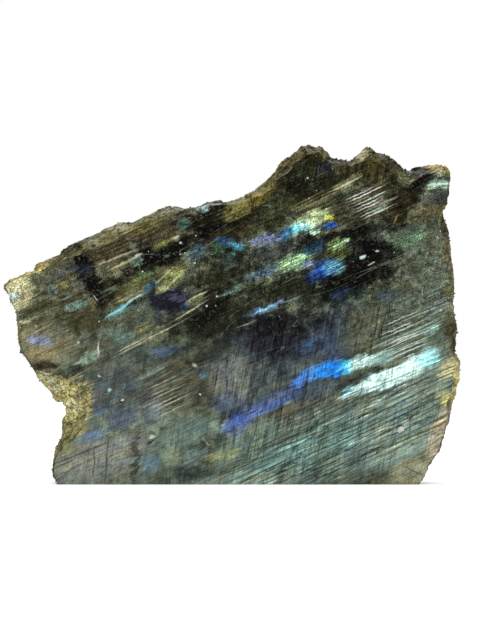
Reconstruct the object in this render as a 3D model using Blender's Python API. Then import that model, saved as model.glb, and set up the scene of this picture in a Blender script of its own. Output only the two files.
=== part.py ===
"""A slab of labradorite: one face polished flat, a sawn base that it stands on, and broken edges and back.

Units are metres, +Z is up and the polished face looks along -Y. The origin is the middle of the
stone's box, at the level of the sawn base.
"""

import math

import bmesh
import bpy
from mathutils import Matrix, Vector, noise
from mathutils.geometry import delaunay_2d_cdt

MM = 0.001

# Driving dimensions
WIDTH = 210 * MM  # across the widest stations of the outline
THICKNESS = 30 * MM  # polished face to the highest part of the back, at the base
UNIT = WIDTH / 100  # the outline is given in hundredths of the width

# Broken rim, clockwise from the left end of the base to the right end:
# x from the left tip, z above the base, both in hundredths of the width;
# then, in mm, how far the polished face stops short of the rim, and how far the rim lies behind it.
LEFT_RIM = [
    (11.7, 0.0, 0.5, 6),
    (10.8, 1.6, 0.9, 6),
    (10.5, 3.8, 1.4, 7),
    (10.7, 6.2, 2.3, 8),
    (11.4, 8.6, 3.2, 10),
    (12.3, 10.3, 5.0, 11),
    (12.4, 12.5, 7.8, 12),
    (12.6, 14.1, 9.6, 12),
    (13.5, 15.1, 10.5, 12),
    (13.0, 16.9, 12.0, 12),
    (12.4, 17.8, 13.0, 12),
    (11.0, 17.8, 14.0, 12),
    (10.1, 19.5, 13.0, 12),
    (8.8, 21.0, 10.1, 11),
    (7.3, 22.8, 7.0, 10),
    (6.4, 24.9, 1.4, 8),
    (5.3, 26.9, 0.9, 6),
    (3.9, 28.4, 0.9, 6),
    (3.6, 30.4, 0.7, 6),
    (3.4, 33.7, 0.7, 6),
    (2.7, 35.8, 1.1, 6),
    (2.5, 37.6, 0.7, 6),
    (1.2, 40.4, 0.5, 6),
    (0.0, 43.2, 0.5, 6),
]
TOP_RIM = [
    (1.2, 44.3, 0.5, 6),
    (3.6, 45.4, 0.5, 6),
    (6.4, 46.6, 0.9, 7),
    (7.1, 48.3, 3.7, 9),
    (9.0, 49.1, 4.1, 10),
    (11.7, 50.1, 3.7, 10),
    (12.5, 51.6, 5.0, 12),
    (14.1, 52.5, 5.5, 12),
    (17.3, 53.5, 5.0, 12),
    (19.7, 54.7, 5.9, 12),
    (21.7, 56.0, 7.8, 13),
    (24.7, 57.1, 6.9, 13),
    (27.1, 57.1, 4.1, 12),
    (29.5, 58.0, 2.7, 11),
    (33.2, 59.8, 3.7, 11),
    (35.4, 60.7, 4.6, 12),
    (37.1, 60.9, 3.7, 11),
    (39.3, 60.5, 1.4, 9),
    (42.2, 60.8, 0.9, 9),
    (44.1, 61.8, 1.8, 10),
    (47.2, 62.0, 1.8, 10),
    (48.9, 61.7, 1.8, 10),
    (52.2, 63.0, 3.2, 11),
    (55.0, 64.8, 5.0, 12),
    (57.4, 66.8, 5.5, 12),
    (59.2, 68.8, 5.9, 12),
    (60.7, 70.7, 5.5, 12),
    (63.3, 72.7, 4.6, 12),
    (65.0, 73.9, 4.1, 12),
    (66.3, 74.3, 4.1, 12),
    (67.9, 73.7, 4.1, 12),
    (69.4, 74.1, 4.1, 12),
    (70.5, 73.0, 4.1, 12),
    (71.6, 71.7, 3.2, 12),
    (74.4, 71.0, 2.7, 11),
    (75.7, 70.8, 3.2, 11),
    (77.7, 72.4, 4.1, 12),
    (80.3, 74.0, 4.6, 12),
    (81.6, 72.7, 4.1, 12),
    (84.2, 72.1, 4.1, 12),
    (85.9, 71.0, 4.6, 12),
    (87.3, 69.1, 5.9, 13),
    (89.2, 69.0, 6.4, 13),
    (92.5, 69.8, 4.1, 12),
    (95.3, 69.9, 2.7, 10),
    (97.1, 69.0, 1.8, 8),
]
RIGHT_RIM = [
    (97.6, 67.0, 1.4, 7),
    (97.3, 62.2, 1.8, 7),
    (96.1, 59.4, 3.7, 9),
    (96.7, 57.0, 4.1, 10),
    (97.7, 53.3, 3.2, 10),
    (98.0, 50.0, 1.8, 9),
    (98.5, 45.0, 1.4, 8),
    (98.4, 40.8, 1.4, 8),
    (98.9, 35.4, 1.8, 9),
    (98.8, 28.0, 2.3, 9),
    (99.9, 26.3, 2.7, 10),
    (99.7, 23.0, 3.2, 11),
    (98.3, 17.5, 2.7, 11),
    (97.5, 14.1, 1.8, 10),
    (96.6, 10.6, 1.4, 10),
    (95.3, 7.1, 1.4, 9),
    (93.9, 5.1, 1.4, 9),
    (92.8, 4.0, 1.4, 9),
    (92.3, 1.9, 0.9, 8),
    (90.7, 0.0, 0.5, 6),
]

# Pits where grains broke out of the polish: x and z as in the rim, then mm: half width, half height, depth
PITS = [
    (32.3, 10.6, 2.1, 2.6, 1.1),
    (25.8, 18.3, 1.3, 1.6, 0.7),
    (86.7, 11.9, 1.5, 1.2, 0.7),
    (79.7, 0.4, 2.0, 1.0, 0.9),
]

# The first cleavage of the feldspar, along which the lamellae lie and the ledges of the broken faces run
CLEAVAGE_SLOPE = math.radians(24)  # how the lamellae climb to the right across the polished face
CLEAVAGE_DIP = math.radians(28)  # how they lean away behind it
RISER = 0.36  # share of each ledge that its riser takes

# Broken back
BASE_EDGE_THICKNESS = 29 * MM
TOP_EDGE_THICKNESS = 17 * MM
TOP_THICKNESS = 25 * MM  # full thickness at the highest part
TAPER_HEIGHT = 70 * MM  # above this the edges have their least thickness
DOME_REACH = 32 * MM  # how far in from the rim the back reaches its full thickness
BACK_LUMPS = 7.5 * MM  # how far it swells and sinks
BACK_LUMP_SPAN = 42 * MM
BACK_LEDGE = 3.2 * MM
BACK_LEAN = 0.22  # how fast the ledges follow each other across the lamellae
BACK_GRIT = 0.5 * MM
GRIT_SPAN = 3.8 * MM
BACK_MARGIN = 0.8 * MM  # keeps the highest grit inside the thickness

# Broken rim
RAGGED_EDGE = 0.45  # share by which the band between the polished face and the rim varies in width
RAGGED_SPAN = 7.7 * MM
RIM_LUMP = 1.3 * MM
RIM_LUMP_SPAN = 13 * MM
RIM_GRAIN_SPAN = 4.8 * MM
RIM_LEDGE = 1.9 * MM
RIM_LEDGE_REACH = 1.5 * MM  # how far a ledge stands out
RIM_LEDGE_WAVER = 1.1 * MM
RIM_LEDGE_WAVER_SPAN = 18 * MM
BACK_TUCK = 2.6 * MM  # how far the edge of the back lies inside the rim
BACK_TUCK_SPAN = 25 * MM
ROUGH_ABOVE_BASE = 6 * MM  # the roughness grows over this height above the sawn base
LEAST_STEP_BACK = 3 * MM  # from the rim to the edge of the back
LEAST_DEPTH = 0.25 * MM  # of the broken rim behind the polished face
LEAST_HEIGHT = 0.7 * MM  # of the broken rim above the base

# Spacing of the mesh
RIM_SPACING = 2.9 * MM
BASE_SPACING = 5.5 * MM
BACK_GRID = 3.8 * MM
RINGS_TO_RIM = 4
RINGS_TO_BACK = 4


def smooth(x):
    """Rises from 0 to 1 as x does, level at both ends."""
    x = min(max(x, 0.0), 1.0)
    return x * x * (3 - 2 * x)


def mix(a, b, t):
    return a + (b - a) * t


def wander(x, z, span, layer):
    """Smooth noise from -1 to 1 on the polished plane, a different one for each layer."""
    return noise.noise(Vector((x, layer, z)) / span + Vector((0, layer, 0)))


def tremble(point, span):
    """A vector of three smooth noises at a point, each from -1 to 1."""
    near = point / span
    return Vector(noise.noise(near + Vector((17 * k, 5 * k, -11 * k))) for k in range(1, 4))


def divided(stations, spacing):
    """The stations with straight runs between them divided so that no step is longer than spacing."""
    out = []
    for a, b in zip(stations, stations[1:]):
        steps = max(1, math.ceil((b[0] - a[0]).length / spacing))
        for i in range(steps):
            t = i / steps
            out.append((a[0].lerp(b[0], t), mix(a[1], b[1], t), mix(a[2], b[2], t)))
    return out


def rim_stations():
    """(point, inset, rim depth) round the whole slab, and how many of them lie on the broken rim."""
    given = [(Vector((x * UNIT, z * UNIT)), i * MM, d * MM) for x, z, i, d in LEFT_RIM + TOP_RIM + RIGHT_RIM]
    broken = divided(given, RIM_SPACING)
    base = divided([given[-1], given[0]], BASE_SPACING)
    return broken + base, len(broken)


def inward_directions(points, broken):
    """The direction towards the stone's inside at each station, averaged over its neighbours."""
    count = len(points)
    reach = 5
    directions = []
    for i in range(count):
        along = points[(i + reach) % count] - points[i - reach]
        is_rim = i < broken
        directions.append(Vector((along.y, -along.x)).normalized() if is_rim else Vector((0.0, 0.0)))
    # Where the rim meets the base it moves in along it, so that the sawn face stays flat
    directions[0] = Vector((1.0, 0.0))
    directions[broken] = Vector((-1.0, 0.0))
    for i in (1, 2):
        directions[i] = directions[i].lerp(directions[0], 1 - i / 3).normalized()
        directions[broken - i] = directions[broken - i].lerp(directions[broken], 1 - i / 3).normalized()
    return directions


def along_cleavage(x, y, z):
    """Distance across the lamellae, so that equal values lie on one cleavage plane."""
    across = z * math.cos(CLEAVAGE_SLOPE) - x * math.sin(CLEAVAGE_SLOPE)
    return across * math.cos(CLEAVAGE_DIP) + y * math.sin(CLEAVAGE_DIP)


def stepped(value, step):
    """value gathered onto ledges a step apart, with short risers between them."""
    whole = math.floor(value / step)
    return step * (whole + smooth((value / step - whole - 1 + RISER) / RISER))


def distance_to_rim(x, z, rim):
    here = Vector((x, z))
    nearest = WIDTH
    for a, b in zip(rim, rim[1:]):
        along = b - a
        t = min(max((here - a).dot(along) / along.length_squared, 0.0), 1.0)
        nearest = min(nearest, (a + along * t - here).length)
    return nearest


def back_depth(x, z, rim, height):
    """How far behind the polished face the broken back lies."""
    edge = mix(BASE_EDGE_THICKNESS, TOP_EDGE_THICKNESS, smooth(z / TAPER_HEIGHT))
    full = mix(THICKNESS, TOP_THICKNESS, smooth(z / height))
    dome = mix(edge, full, smooth(distance_to_rim(x, z, rim) / DOME_REACH))
    lumps = BACK_LUMPS * noise.fractal(Vector((x, 0.3, z)) / BACK_LUMP_SPAN, 0.9, 2.1, 3)
    lean = BACK_LEAN * along_cleavage(x, 0, z)
    ledged = stepped(dome + lumps + lean, BACK_LEDGE) - lean
    grit = BACK_GRIT * wander(x, z, GRIT_SPAN, 1.7)
    return min(ledged + grit - BACK_MARGIN, THICKNESS)


def rough_shift(point):
    """A shift of a point on the broken rim: lumps, and ledges where the cleavage planes part."""
    lump = tremble(point, RIM_LUMP_SPAN) + 0.5 * tremble(point, RIM_GRAIN_SPAN)
    across = along_cleavage(*point) + RIM_LEDGE_WAVER * noise.noise(point / RIM_LEDGE_WAVER_SPAN)
    ledge = (stepped(across, RIM_LEDGE) - across) / RIM_LEDGE + RISER
    climb = Vector((-math.sin(CLEAVAGE_SLOPE), math.tan(CLEAVAGE_DIP), math.cos(CLEAVAGE_SLOPE)))
    return lump * RIM_LUMP + climb.normalized() * ledge * RIM_LEDGE_REACH


def front_ring_place(point, inward, inset, depth, t):
    """A place on the band from the polished edge, at t = 0, to the rim, at 1, and how rough it is there."""
    ragged = 1 + RAGGED_EDGE * wander(point.x, point.y, RAGGED_SPAN, 3.3)
    spot = point + inward * inset * ragged * (1 - t)
    bowed = mix(t, t * t, 0.35)
    rough = 0.75 * math.sin(math.pi * min(t, 0.5)) * (1 - smooth(t * 4 - 3) * 0.8)
    return Vector((spot.x, depth * bowed, spot.y)), rough


def back_ring_place(point, inward, depth, outline, height, t):
    """A place on the band from the rim, at t = 0, to the edge of the back, at 1, and how rough it is."""
    tuck = BACK_TUCK * (1 + 0.85 * wander(point.x, point.y, BACK_TUCK_SPAN, 5.1)) * t * t
    spot = point + inward * tuck
    back = back_depth(spot.x, max(spot.y, 0.0), outline, height)
    rough = 0.2 + 0.8 * smooth(t * 2) * (1 - smooth(t * 2 - 1))
    return Vector((spot.x, mix(depth, max(back, depth + LEAST_STEP_BACK), t), spot.y)), rough


def slab_rings(stations, broken):
    """The closed rings of points from the polished edge, over the rim, to the edge of the back."""
    inward = inward_directions([s[0] for s in stations], broken)
    outline = [s[0] for s in stations[: broken + 1]]
    height = max(p.y for p in outline)
    rings = []
    for ring in range(RINGS_TO_RIM + RINGS_TO_BACK + 1):
        points = []
        for i, (point, inset, depth) in enumerate(stations):
            if ring <= RINGS_TO_RIM:
                place, rough = front_ring_place(point, inward[i], inset, depth, ring / RINGS_TO_RIM)
            else:
                t = (ring - RINGS_TO_RIM) / RINGS_TO_BACK
                place, rough = back_ring_place(point, inward[i], depth, outline, height, t)
            if i >= broken or i == 0:
                place.z = 0.0
            else:
                place += rough_shift(place) * rough * smooth(place.z / ROUGH_ABOVE_BASE)
                place.z = max(place.z, LEAST_HEIGHT)
            place.y = 0.0 if ring == 0 else max(place.y, LEAST_DEPTH)
            points.append(place)
        rings.append(points)
    return rings


def is_inside(here, loop):
    inside = False
    for a, b in zip(loop, loop[1:] + loop[:1]):
        if (a.y > here.y) != (b.y > here.y):
            if here.x < a.x + (here.y - a.y) / (b.y - a.y) * (b.x - a.x):
                inside = not inside
    return inside


def grid_inside(outline, spacing):
    """Jittered points in staggered rows, inside an outline and clear of it."""
    left = min(p.x for p in outline)
    columns = int((max(p.x for p in outline) - left) / spacing)
    rows = int(max(p.y for p in outline) / spacing)
    closed = outline + outline[:1]
    row_spacing = 0.92 * spacing
    inner = []
    for row in range(1, rows + 1):
        for column in range(1, columns + 1):
            x = left + (column + 0.5 * (row % 2)) * spacing
            z = row * row_spacing
            jitter = 0.45 * spacing * tremble(Vector((x, 0.0, z)), 0.53 * spacing)
            here = Vector((x + jitter.x, z + jitter.z))
            if is_inside(here, outline) and distance_to_rim(here.x, here.y, closed) > 0.55 * spacing:
                inner.append(here)
    return inner


def fill_ring(bm, ring, inner, depth_at, flip):
    """Fills a ring with triangles that also meet the inner points, each at its own depth."""
    outline = [Vector((v.co.x, v.co.z)) for v in ring]
    count = len(outline)
    same_place = 1e-7
    filled = delaunay_2d_cdt(outline + inner, [], [list(range(count))], 1, same_place)
    points, faces, sources = filled[0], filled[2], filled[3]
    corners = []
    for point, source in zip(points, sources):
        on_ring = [s for s in source if s < count]
        if on_ring:
            corners.append(ring[on_ring[0]])
        else:
            corners.append(bm.verts.new((point.x, depth_at(point.x, point.y), point.y)))
    for face in faces:
        loop = [corners[i] for i in face]
        bm.faces.new(loop[::-1] if flip else loop)


def slab_mesh():
    """The whole slab as one closed mesh, and the shift that brought its origin under its middle."""
    stations, broken = rim_stations()
    height = max(s[0].y for s in stations)
    bm = bmesh.new()
    rings = [[bm.verts.new(p) for p in ring] for ring in slab_rings(stations, broken)]
    for front, back in zip(rings, rings[1:]):
        for i in range(len(front)):
            j = (i + 1) % len(front)
            bm.faces.new((front[i], front[j], back[j], back[i]))
    back_outline = [Vector((v.co.x, v.co.z)) for v in rings[-1]]
    back_edge = back_outline[: broken + 1]
    fill_ring(bm, rings[0], [], None, False)
    fill_ring(
        bm,
        rings[-1],
        grid_inside(back_outline, BACK_GRID),
        lambda x, z: back_depth(x, z, back_edge, height),
        True,
    )
    bmesh.ops.triangulate(bm, faces=[f for f in bm.faces if len(f.verts) > 3])
    bmesh.ops.recalc_face_normals(bm, faces=bm.faces)
    low = Vector(min(v.co[k] for v in bm.verts) for k in range(3))
    high = Vector(max(v.co[k] for v in bm.verts) for k in range(3))
    to_origin = Vector((-(low.x + high.x) / 2, -(low.y + high.y) / 2, 0.0))
    bmesh.ops.translate(bm, verts=bm.verts, vec=to_origin)
    mesh = bpy.data.meshes.new("labradorite_slab")
    bm.to_mesh(mesh)
    bm.free()
    return mesh, to_origin


def stone_material():
    material = bpy.data.materials.new("labradorite")
    material.use_nodes = True
    shader = material.node_tree.nodes["Principled BSDF"]
    shader.inputs["Base Color"].default_value = (0.09, 0.10, 0.085, 1.0)
    shader.inputs["Roughness"].default_value = 0.25
    shader.inputs["Metallic"].default_value = 0.0
    return material


def pit_cutter(name, pit, to_origin, collection):
    """A faceted lump that takes a pit out of the polished face."""
    x, z, half_width, half_height, depth = pit
    bpy.ops.mesh.primitive_ico_sphere_add(subdivisions=2, radius=1)
    cutter = bpy.context.object
    cutter.name = name
    cutter.data.transform(Matrix.Diagonal((half_width * MM, depth * MM, half_height * MM, 1.0)))
    cutter.location = to_origin + Vector((x * UNIT, 0.0, z * UNIT))
    cutter.rotation_euler = (0, -CLEAVAGE_SLOPE, 0)
    cutter.hide_render = True
    cutter.display_type = "WIRE"
    for owner in list(cutter.users_collection):
        owner.objects.unlink(cutter)
    collection.objects.link(cutter)
    return cutter


def main():
    for old in list(bpy.data.objects):
        bpy.data.objects.remove(old)
    slab_collection = bpy.data.collections.new("Polished labradorite")
    cutters = bpy.data.collections.new("Cutters")
    for collection in (slab_collection, cutters):
        bpy.context.scene.collection.children.link(collection)
    mesh, to_origin = slab_mesh()
    mesh.materials.append(stone_material())
    slab = bpy.data.objects.new("labradorite_slab", mesh)
    slab_collection.objects.link(slab)
    for number, pit in enumerate(PITS, 1):
        cut = slab.modifiers.new(f"pit {number}", "BOOLEAN")
        cut.operation = "DIFFERENCE"
        cut.object = pit_cutter(f"pit_cutter_{number}", pit, to_origin, cutters)


main()
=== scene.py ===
# %% [markdown]
# # A polished slab of labradorite
#
# Labradorite is a feldspar that grew in thin sheets, called lamellae. Light that enters it is thrown
# back by sheets of one thickness as one colour, so a dark grey stone flashes blue, green and gold.
# This slab was broken from a boulder, sawn flat below so that it stands, and polished on one side.
#
# The solid from the frame gives the slab its true size and main shape. This lesson turns it into the
# real stone: a flat polished face full of colour, and broken edges and a broken back with fine facets.

# %% The frame
import math

import bmesh
import bpy
import numpy as np
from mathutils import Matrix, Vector, noise


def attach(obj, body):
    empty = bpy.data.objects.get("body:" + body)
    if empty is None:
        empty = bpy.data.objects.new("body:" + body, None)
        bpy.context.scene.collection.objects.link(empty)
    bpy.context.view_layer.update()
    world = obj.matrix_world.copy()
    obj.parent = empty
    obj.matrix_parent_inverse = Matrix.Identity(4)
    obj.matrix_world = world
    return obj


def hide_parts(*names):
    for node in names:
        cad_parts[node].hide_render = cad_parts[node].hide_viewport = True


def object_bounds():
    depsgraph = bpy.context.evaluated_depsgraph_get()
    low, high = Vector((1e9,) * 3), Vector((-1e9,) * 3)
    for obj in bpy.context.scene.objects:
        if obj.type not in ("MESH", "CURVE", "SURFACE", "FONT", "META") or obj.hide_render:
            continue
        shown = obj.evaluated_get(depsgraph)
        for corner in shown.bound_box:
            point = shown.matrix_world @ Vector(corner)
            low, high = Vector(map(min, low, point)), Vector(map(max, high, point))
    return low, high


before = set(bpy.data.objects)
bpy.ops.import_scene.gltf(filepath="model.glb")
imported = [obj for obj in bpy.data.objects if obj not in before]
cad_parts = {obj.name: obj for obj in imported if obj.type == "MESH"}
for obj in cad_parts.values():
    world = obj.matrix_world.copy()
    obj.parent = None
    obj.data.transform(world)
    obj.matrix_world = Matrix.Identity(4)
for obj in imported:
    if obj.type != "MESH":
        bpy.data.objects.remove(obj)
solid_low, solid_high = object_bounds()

MM = 0.001
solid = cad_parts["labradorite_slab"]
print("solid, mm:", [round(size / MM, 1) for size in solid_high - solid_low])

# %% [markdown]
# ## Where things are on the stone
#
# Places are in millimetres from the middle of the sawn base: x to the right, z up, y away from the
# polished face. The lamellae climb to the right across the face, and they lean away behind it. Two
# directions follow from that, one along the sheets and one across them, and most of the stone's marks
# are drawn in them, because a colour in this stone starts and stops at its sheets.

# %% The lamellae
SLOPE = math.radians(25)  # how the sheets climb across the face
DIP = math.radians(28)  # how they lean away behind it
FACE_Y = solid_low.y / MM
WIDTH = (solid_high.x - solid_low.x) / MM
HEIGHT = (solid_high.z - solid_low.z) / MM


def along_and_across(x, z):
    """A place on the polished face, measured along the sheets and across them."""
    return x * math.cos(SLOPE) + z * math.sin(SLOPE), z * math.cos(SLOPE) - x * math.sin(SLOPE)


def across_sheets(place):
    """The distance of a place in the stone across its sheets."""
    return along_and_across(place.x, place.z)[1] * math.cos(DIP) + place.y * math.sin(DIP)


print("face, mm:", round(WIDTH, 1), "wide,", round(HEIGHT, 1), "high, at y", round(FACE_Y, 1))

# %% [markdown]
# ## Which face is which
#
# The stone has three kinds of surface: the polished plane, the sawn base, and everything that broke.
# The solid's mesh is a copy whose loose triangles are merged first. Each face is then told by where
# its corners lie. The pits in the polish are broken too, but they start at the plane, so a face is
# polished only if all its corners are on it.

# %% Sorting the faces
POLISHED, BROKEN, SAWN = range(3)
ON_PLANE = 0.03  # mm

body = bmesh.new()
body.from_mesh(solid.data)
bmesh.ops.remove_doubles(body, verts=body.verts, dist=0.005 * MM)
bmesh.ops.scale(body, verts=body.verts, vec=(1 / MM, 1 / MM, 1 / MM))
for face in body.faces:
    if all(v.co.y < FACE_Y + ON_PLANE for v in face.verts):
        face.material_index = POLISHED
    elif all(v.co.z < ON_PLANE for v in face.verts):
        face.material_index = SAWN
    else:
        face.material_index = BROKEN
print("faces, polished, broken and sawn:", [sum(f.material_index == k for f in body.faces) for k in range(3)])

# %% [markdown]
# ## Broken feldspar
#
# Feldspar breaks along two flat cleavages, so a broken edge is a flight of small flat steps, and only
# between them is it rough like other stone. A displacement in the material would give the look but
# no shape, so the faces are divided to about 0.7 mm and their corners moved. First the solid's large
# facets are smoothed away. Then each corner is moved by three rules: small tilted facets from a cell
# pattern, ledges along the sheets, and a fine grit. The polished plane stays exactly flat.

# %% Dividing and easing the broken faces
CUTS = 3
EASING_ROUNDS = 4

rough_edges = [e for e in body.edges if any(f.material_index == BROKEN for f in e.link_faces)]
bmesh.ops.subdivide_edges(body, edges=rough_edges, cuts=CUTS, use_grid_fill=True)
bmesh.ops.triangulate(body, faces=[f for f in body.faces if len(f.verts) > 3])


def kinds(vert):
    return {f.material_index for f in vert.link_faces}


free = [v for v in body.verts if kinds(v) == {BROKEN}]
for _ in range(EASING_ROUNDS):
    bmesh.ops.smooth_vert(body, verts=free, factor=0.5, use_axis_x=True, use_axis_y=True, use_axis_z=True)
print("divided:", len(body.faces), "triangles,", len(free), "free corners")

# %% Moving the corners
FACET_SPANS = ((5.5, 0.75), (2.2, 0.28))  # mm: size of a facet, and how far it stands out
FACET_LIFT, FACET_TILT = 0.6, 1.6  # shares of a facet's height that its place and its slant give
SHEET_STEP = 1.5  # mm: height of a cleavage ledge
SHEET_REACH = 0.75  # how far a corner goes on its way to a ledge, as a share
GRIT_SPAN = 0.9  # mm
GRIT = 0.09  # mm
CHIP_SPANS = (4.2, 1.1)  # mm: sizes of the chips in the rim of the polish, large and small
SMALL_CHIPS = 0.35  # depth of the small ones, as a share
CHIP = 0.7  # mm: depth of the deepest
SINK = 0.25  # mm: the broken faces are let in by this much, because the facets also stand out
PLANE_FADE = 1.2  # mm behind the polish within which the moves grow to their full size
BASE_FADE = 2.5  # mm above the base, likewise
LEDGE_PATCH = 11  # mm: size of the patches that have ledges
LEDGE_USUAL, LEDGE_SWING, LEDGE_MOST = 0.55, 1.2, 1.3  # how strong ledges are: usually, by patch, at most
LEDGE_WAVE = (14, 0.8)  # mm: how long and how high the ledges' waves are
RIM_FOOT = 1.0  # mm: height above the base where the chips of the rim start


def facet_height(place, span):
    """How far a facet of the cell pattern lifts a place, from -1 to 1: each cell is flat but tilted."""
    middle = noise.voronoi(place / span)[1][0]
    tilt = noise.cell_vector(middle * 7.3) - Vector((0.5, 0.5, 0.5))
    lift = noise.cell(middle * 5.1 + Vector((3, 1, 4)))
    return lift * FACET_LIFT + tilt.dot(place / span - middle) * FACET_TILT


def ledge_shift(place):
    """How far a place moves across the sheets to gather on a ledge."""
    across = across_sheets(place) + LEDGE_WAVE[1] * noise.noise(place / LEDGE_WAVE[0])
    share = across / SHEET_STEP - math.floor(across / SHEET_STEP)
    return (share * share * (3 - 2 * share) - share) * SHEET_STEP


body.normal_update()
across_direction = Vector(
    (-math.sin(SLOPE) * math.cos(DIP), math.sin(DIP), math.cos(SLOPE) * math.cos(DIP))
)
moves = []
for vert in free:
    place = vert.co
    lift = sum(reach * facet_height(place, span) for span, reach in FACET_SPANS)
    lift += GRIT * noise.noise(place / GRIT_SPAN)
    near_plane = min(1.0, (place.y - FACE_Y) / PLANE_FADE)
    near_base = min(1.0, place.z / BASE_FADE)
    patchy = LEDGE_USUAL + LEDGE_SWING * noise.noise(place / LEDGE_PATCH + Vector((9, 2, 5)))
    ledge = SHEET_REACH * ledge_shift(place) * min(max(0.0, patchy), LEDGE_MOST)
    moves.append((vert.normal * (lift - SINK) + across_direction * ledge) * near_plane * near_base)
for vert, move in zip(free, moves):
    vert.co += move

rim = [v for v in body.verts if kinds(v) == {POLISHED, BROKEN} and v.co.z > RIM_FOOT]
for vert in rim:
    outward = sum((f.normal for f in vert.link_faces if f.material_index == BROKEN), Vector())
    outward.y = 0.0
    large, small = (noise.noise(vert.co / span) for span in CHIP_SPANS)
    if outward.length > 0:
        vert.co -= outward.normalized() * (max(0.0, large + SMALL_CHIPS * small) * CHIP)
print("moved", len(free), "corners and chipped", len(rim), "along the rim of the polish")

# %% Back to metres, inside the solid's box
INSET = 0.02  # mm inside the solid's box
BEHIND_PLANE = 0.05  # mm: no broken corner comes nearer to the polished plane

least = [value / MM + INSET for value in solid_low]
most = [value / MM - INSET for value in solid_high]
for vert in body.verts:
    if kinds(vert) == {BROKEN}:
        for axis in range(3):
            vert.co[axis] = min(max(vert.co[axis], least[axis]), most[axis])
        vert.co.y = max(vert.co.y, FACE_Y + BEHIND_PLANE)
bmesh.ops.scale(body, verts=body.verts, vec=(MM, MM, MM))
stone_mesh = bpy.data.meshes.new("polished_labradorite")
body.to_mesh(stone_mesh)
body.free()
stone = bpy.data.objects.new("polished_labradorite", stone_mesh)
bpy.context.scene.collection.objects.link(stone)
print("stone:", len(stone_mesh.polygons), "triangles")

# %% [markdown]
# ## Shader maths as sums
#
# The colours of the stone are sums and products of many patterns. Nodes placed one by one would hide
# that, so a Field wraps a socket, and a sum of fields adds its Math nodes. Every other node comes from
# Tree.node, which sets the node's settings first and then its sockets. A smooth rise stays between its
# ends by itself, so its clamp is off: with hundreds of marks in one material each spare step counts.

# %% Fields and finishes
FELDSPAR_IOR = 1.56  # how strongly the stone bends light


class Field:
    """A value, colour or vector that varies over a surface."""

    def __init__(self, tree, socket):
        self.tree = tree
        self.socket = socket

    def maths(self, operation, first, second):
        return self.tree.node(
            "ShaderNodeMath", {"operation": operation}, {"Value": first, "Value_001": second}
        )

    def __add__(self, other):
        return self.maths("ADD", self, other)

    def __radd__(self, other):
        return self.maths("ADD", other, self)

    def __sub__(self, other):
        return self.maths("SUBTRACT", self, other)

    def __rsub__(self, other):
        return self.maths("SUBTRACT", other, self)

    def __mul__(self, other):
        return self.maths("MULTIPLY", self, other)

    def __rmul__(self, other):
        return self.maths("MULTIPLY", other, self)

    def __truediv__(self, other):
        return self.maths("DIVIDE", self, other)


def pick(sockets, name):
    """The first socket in use that has a name or identifier, or the first of all without one."""
    return next(s for s in sockets if s.enabled and (name is None or name in (s.identifier, s.name)))


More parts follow.
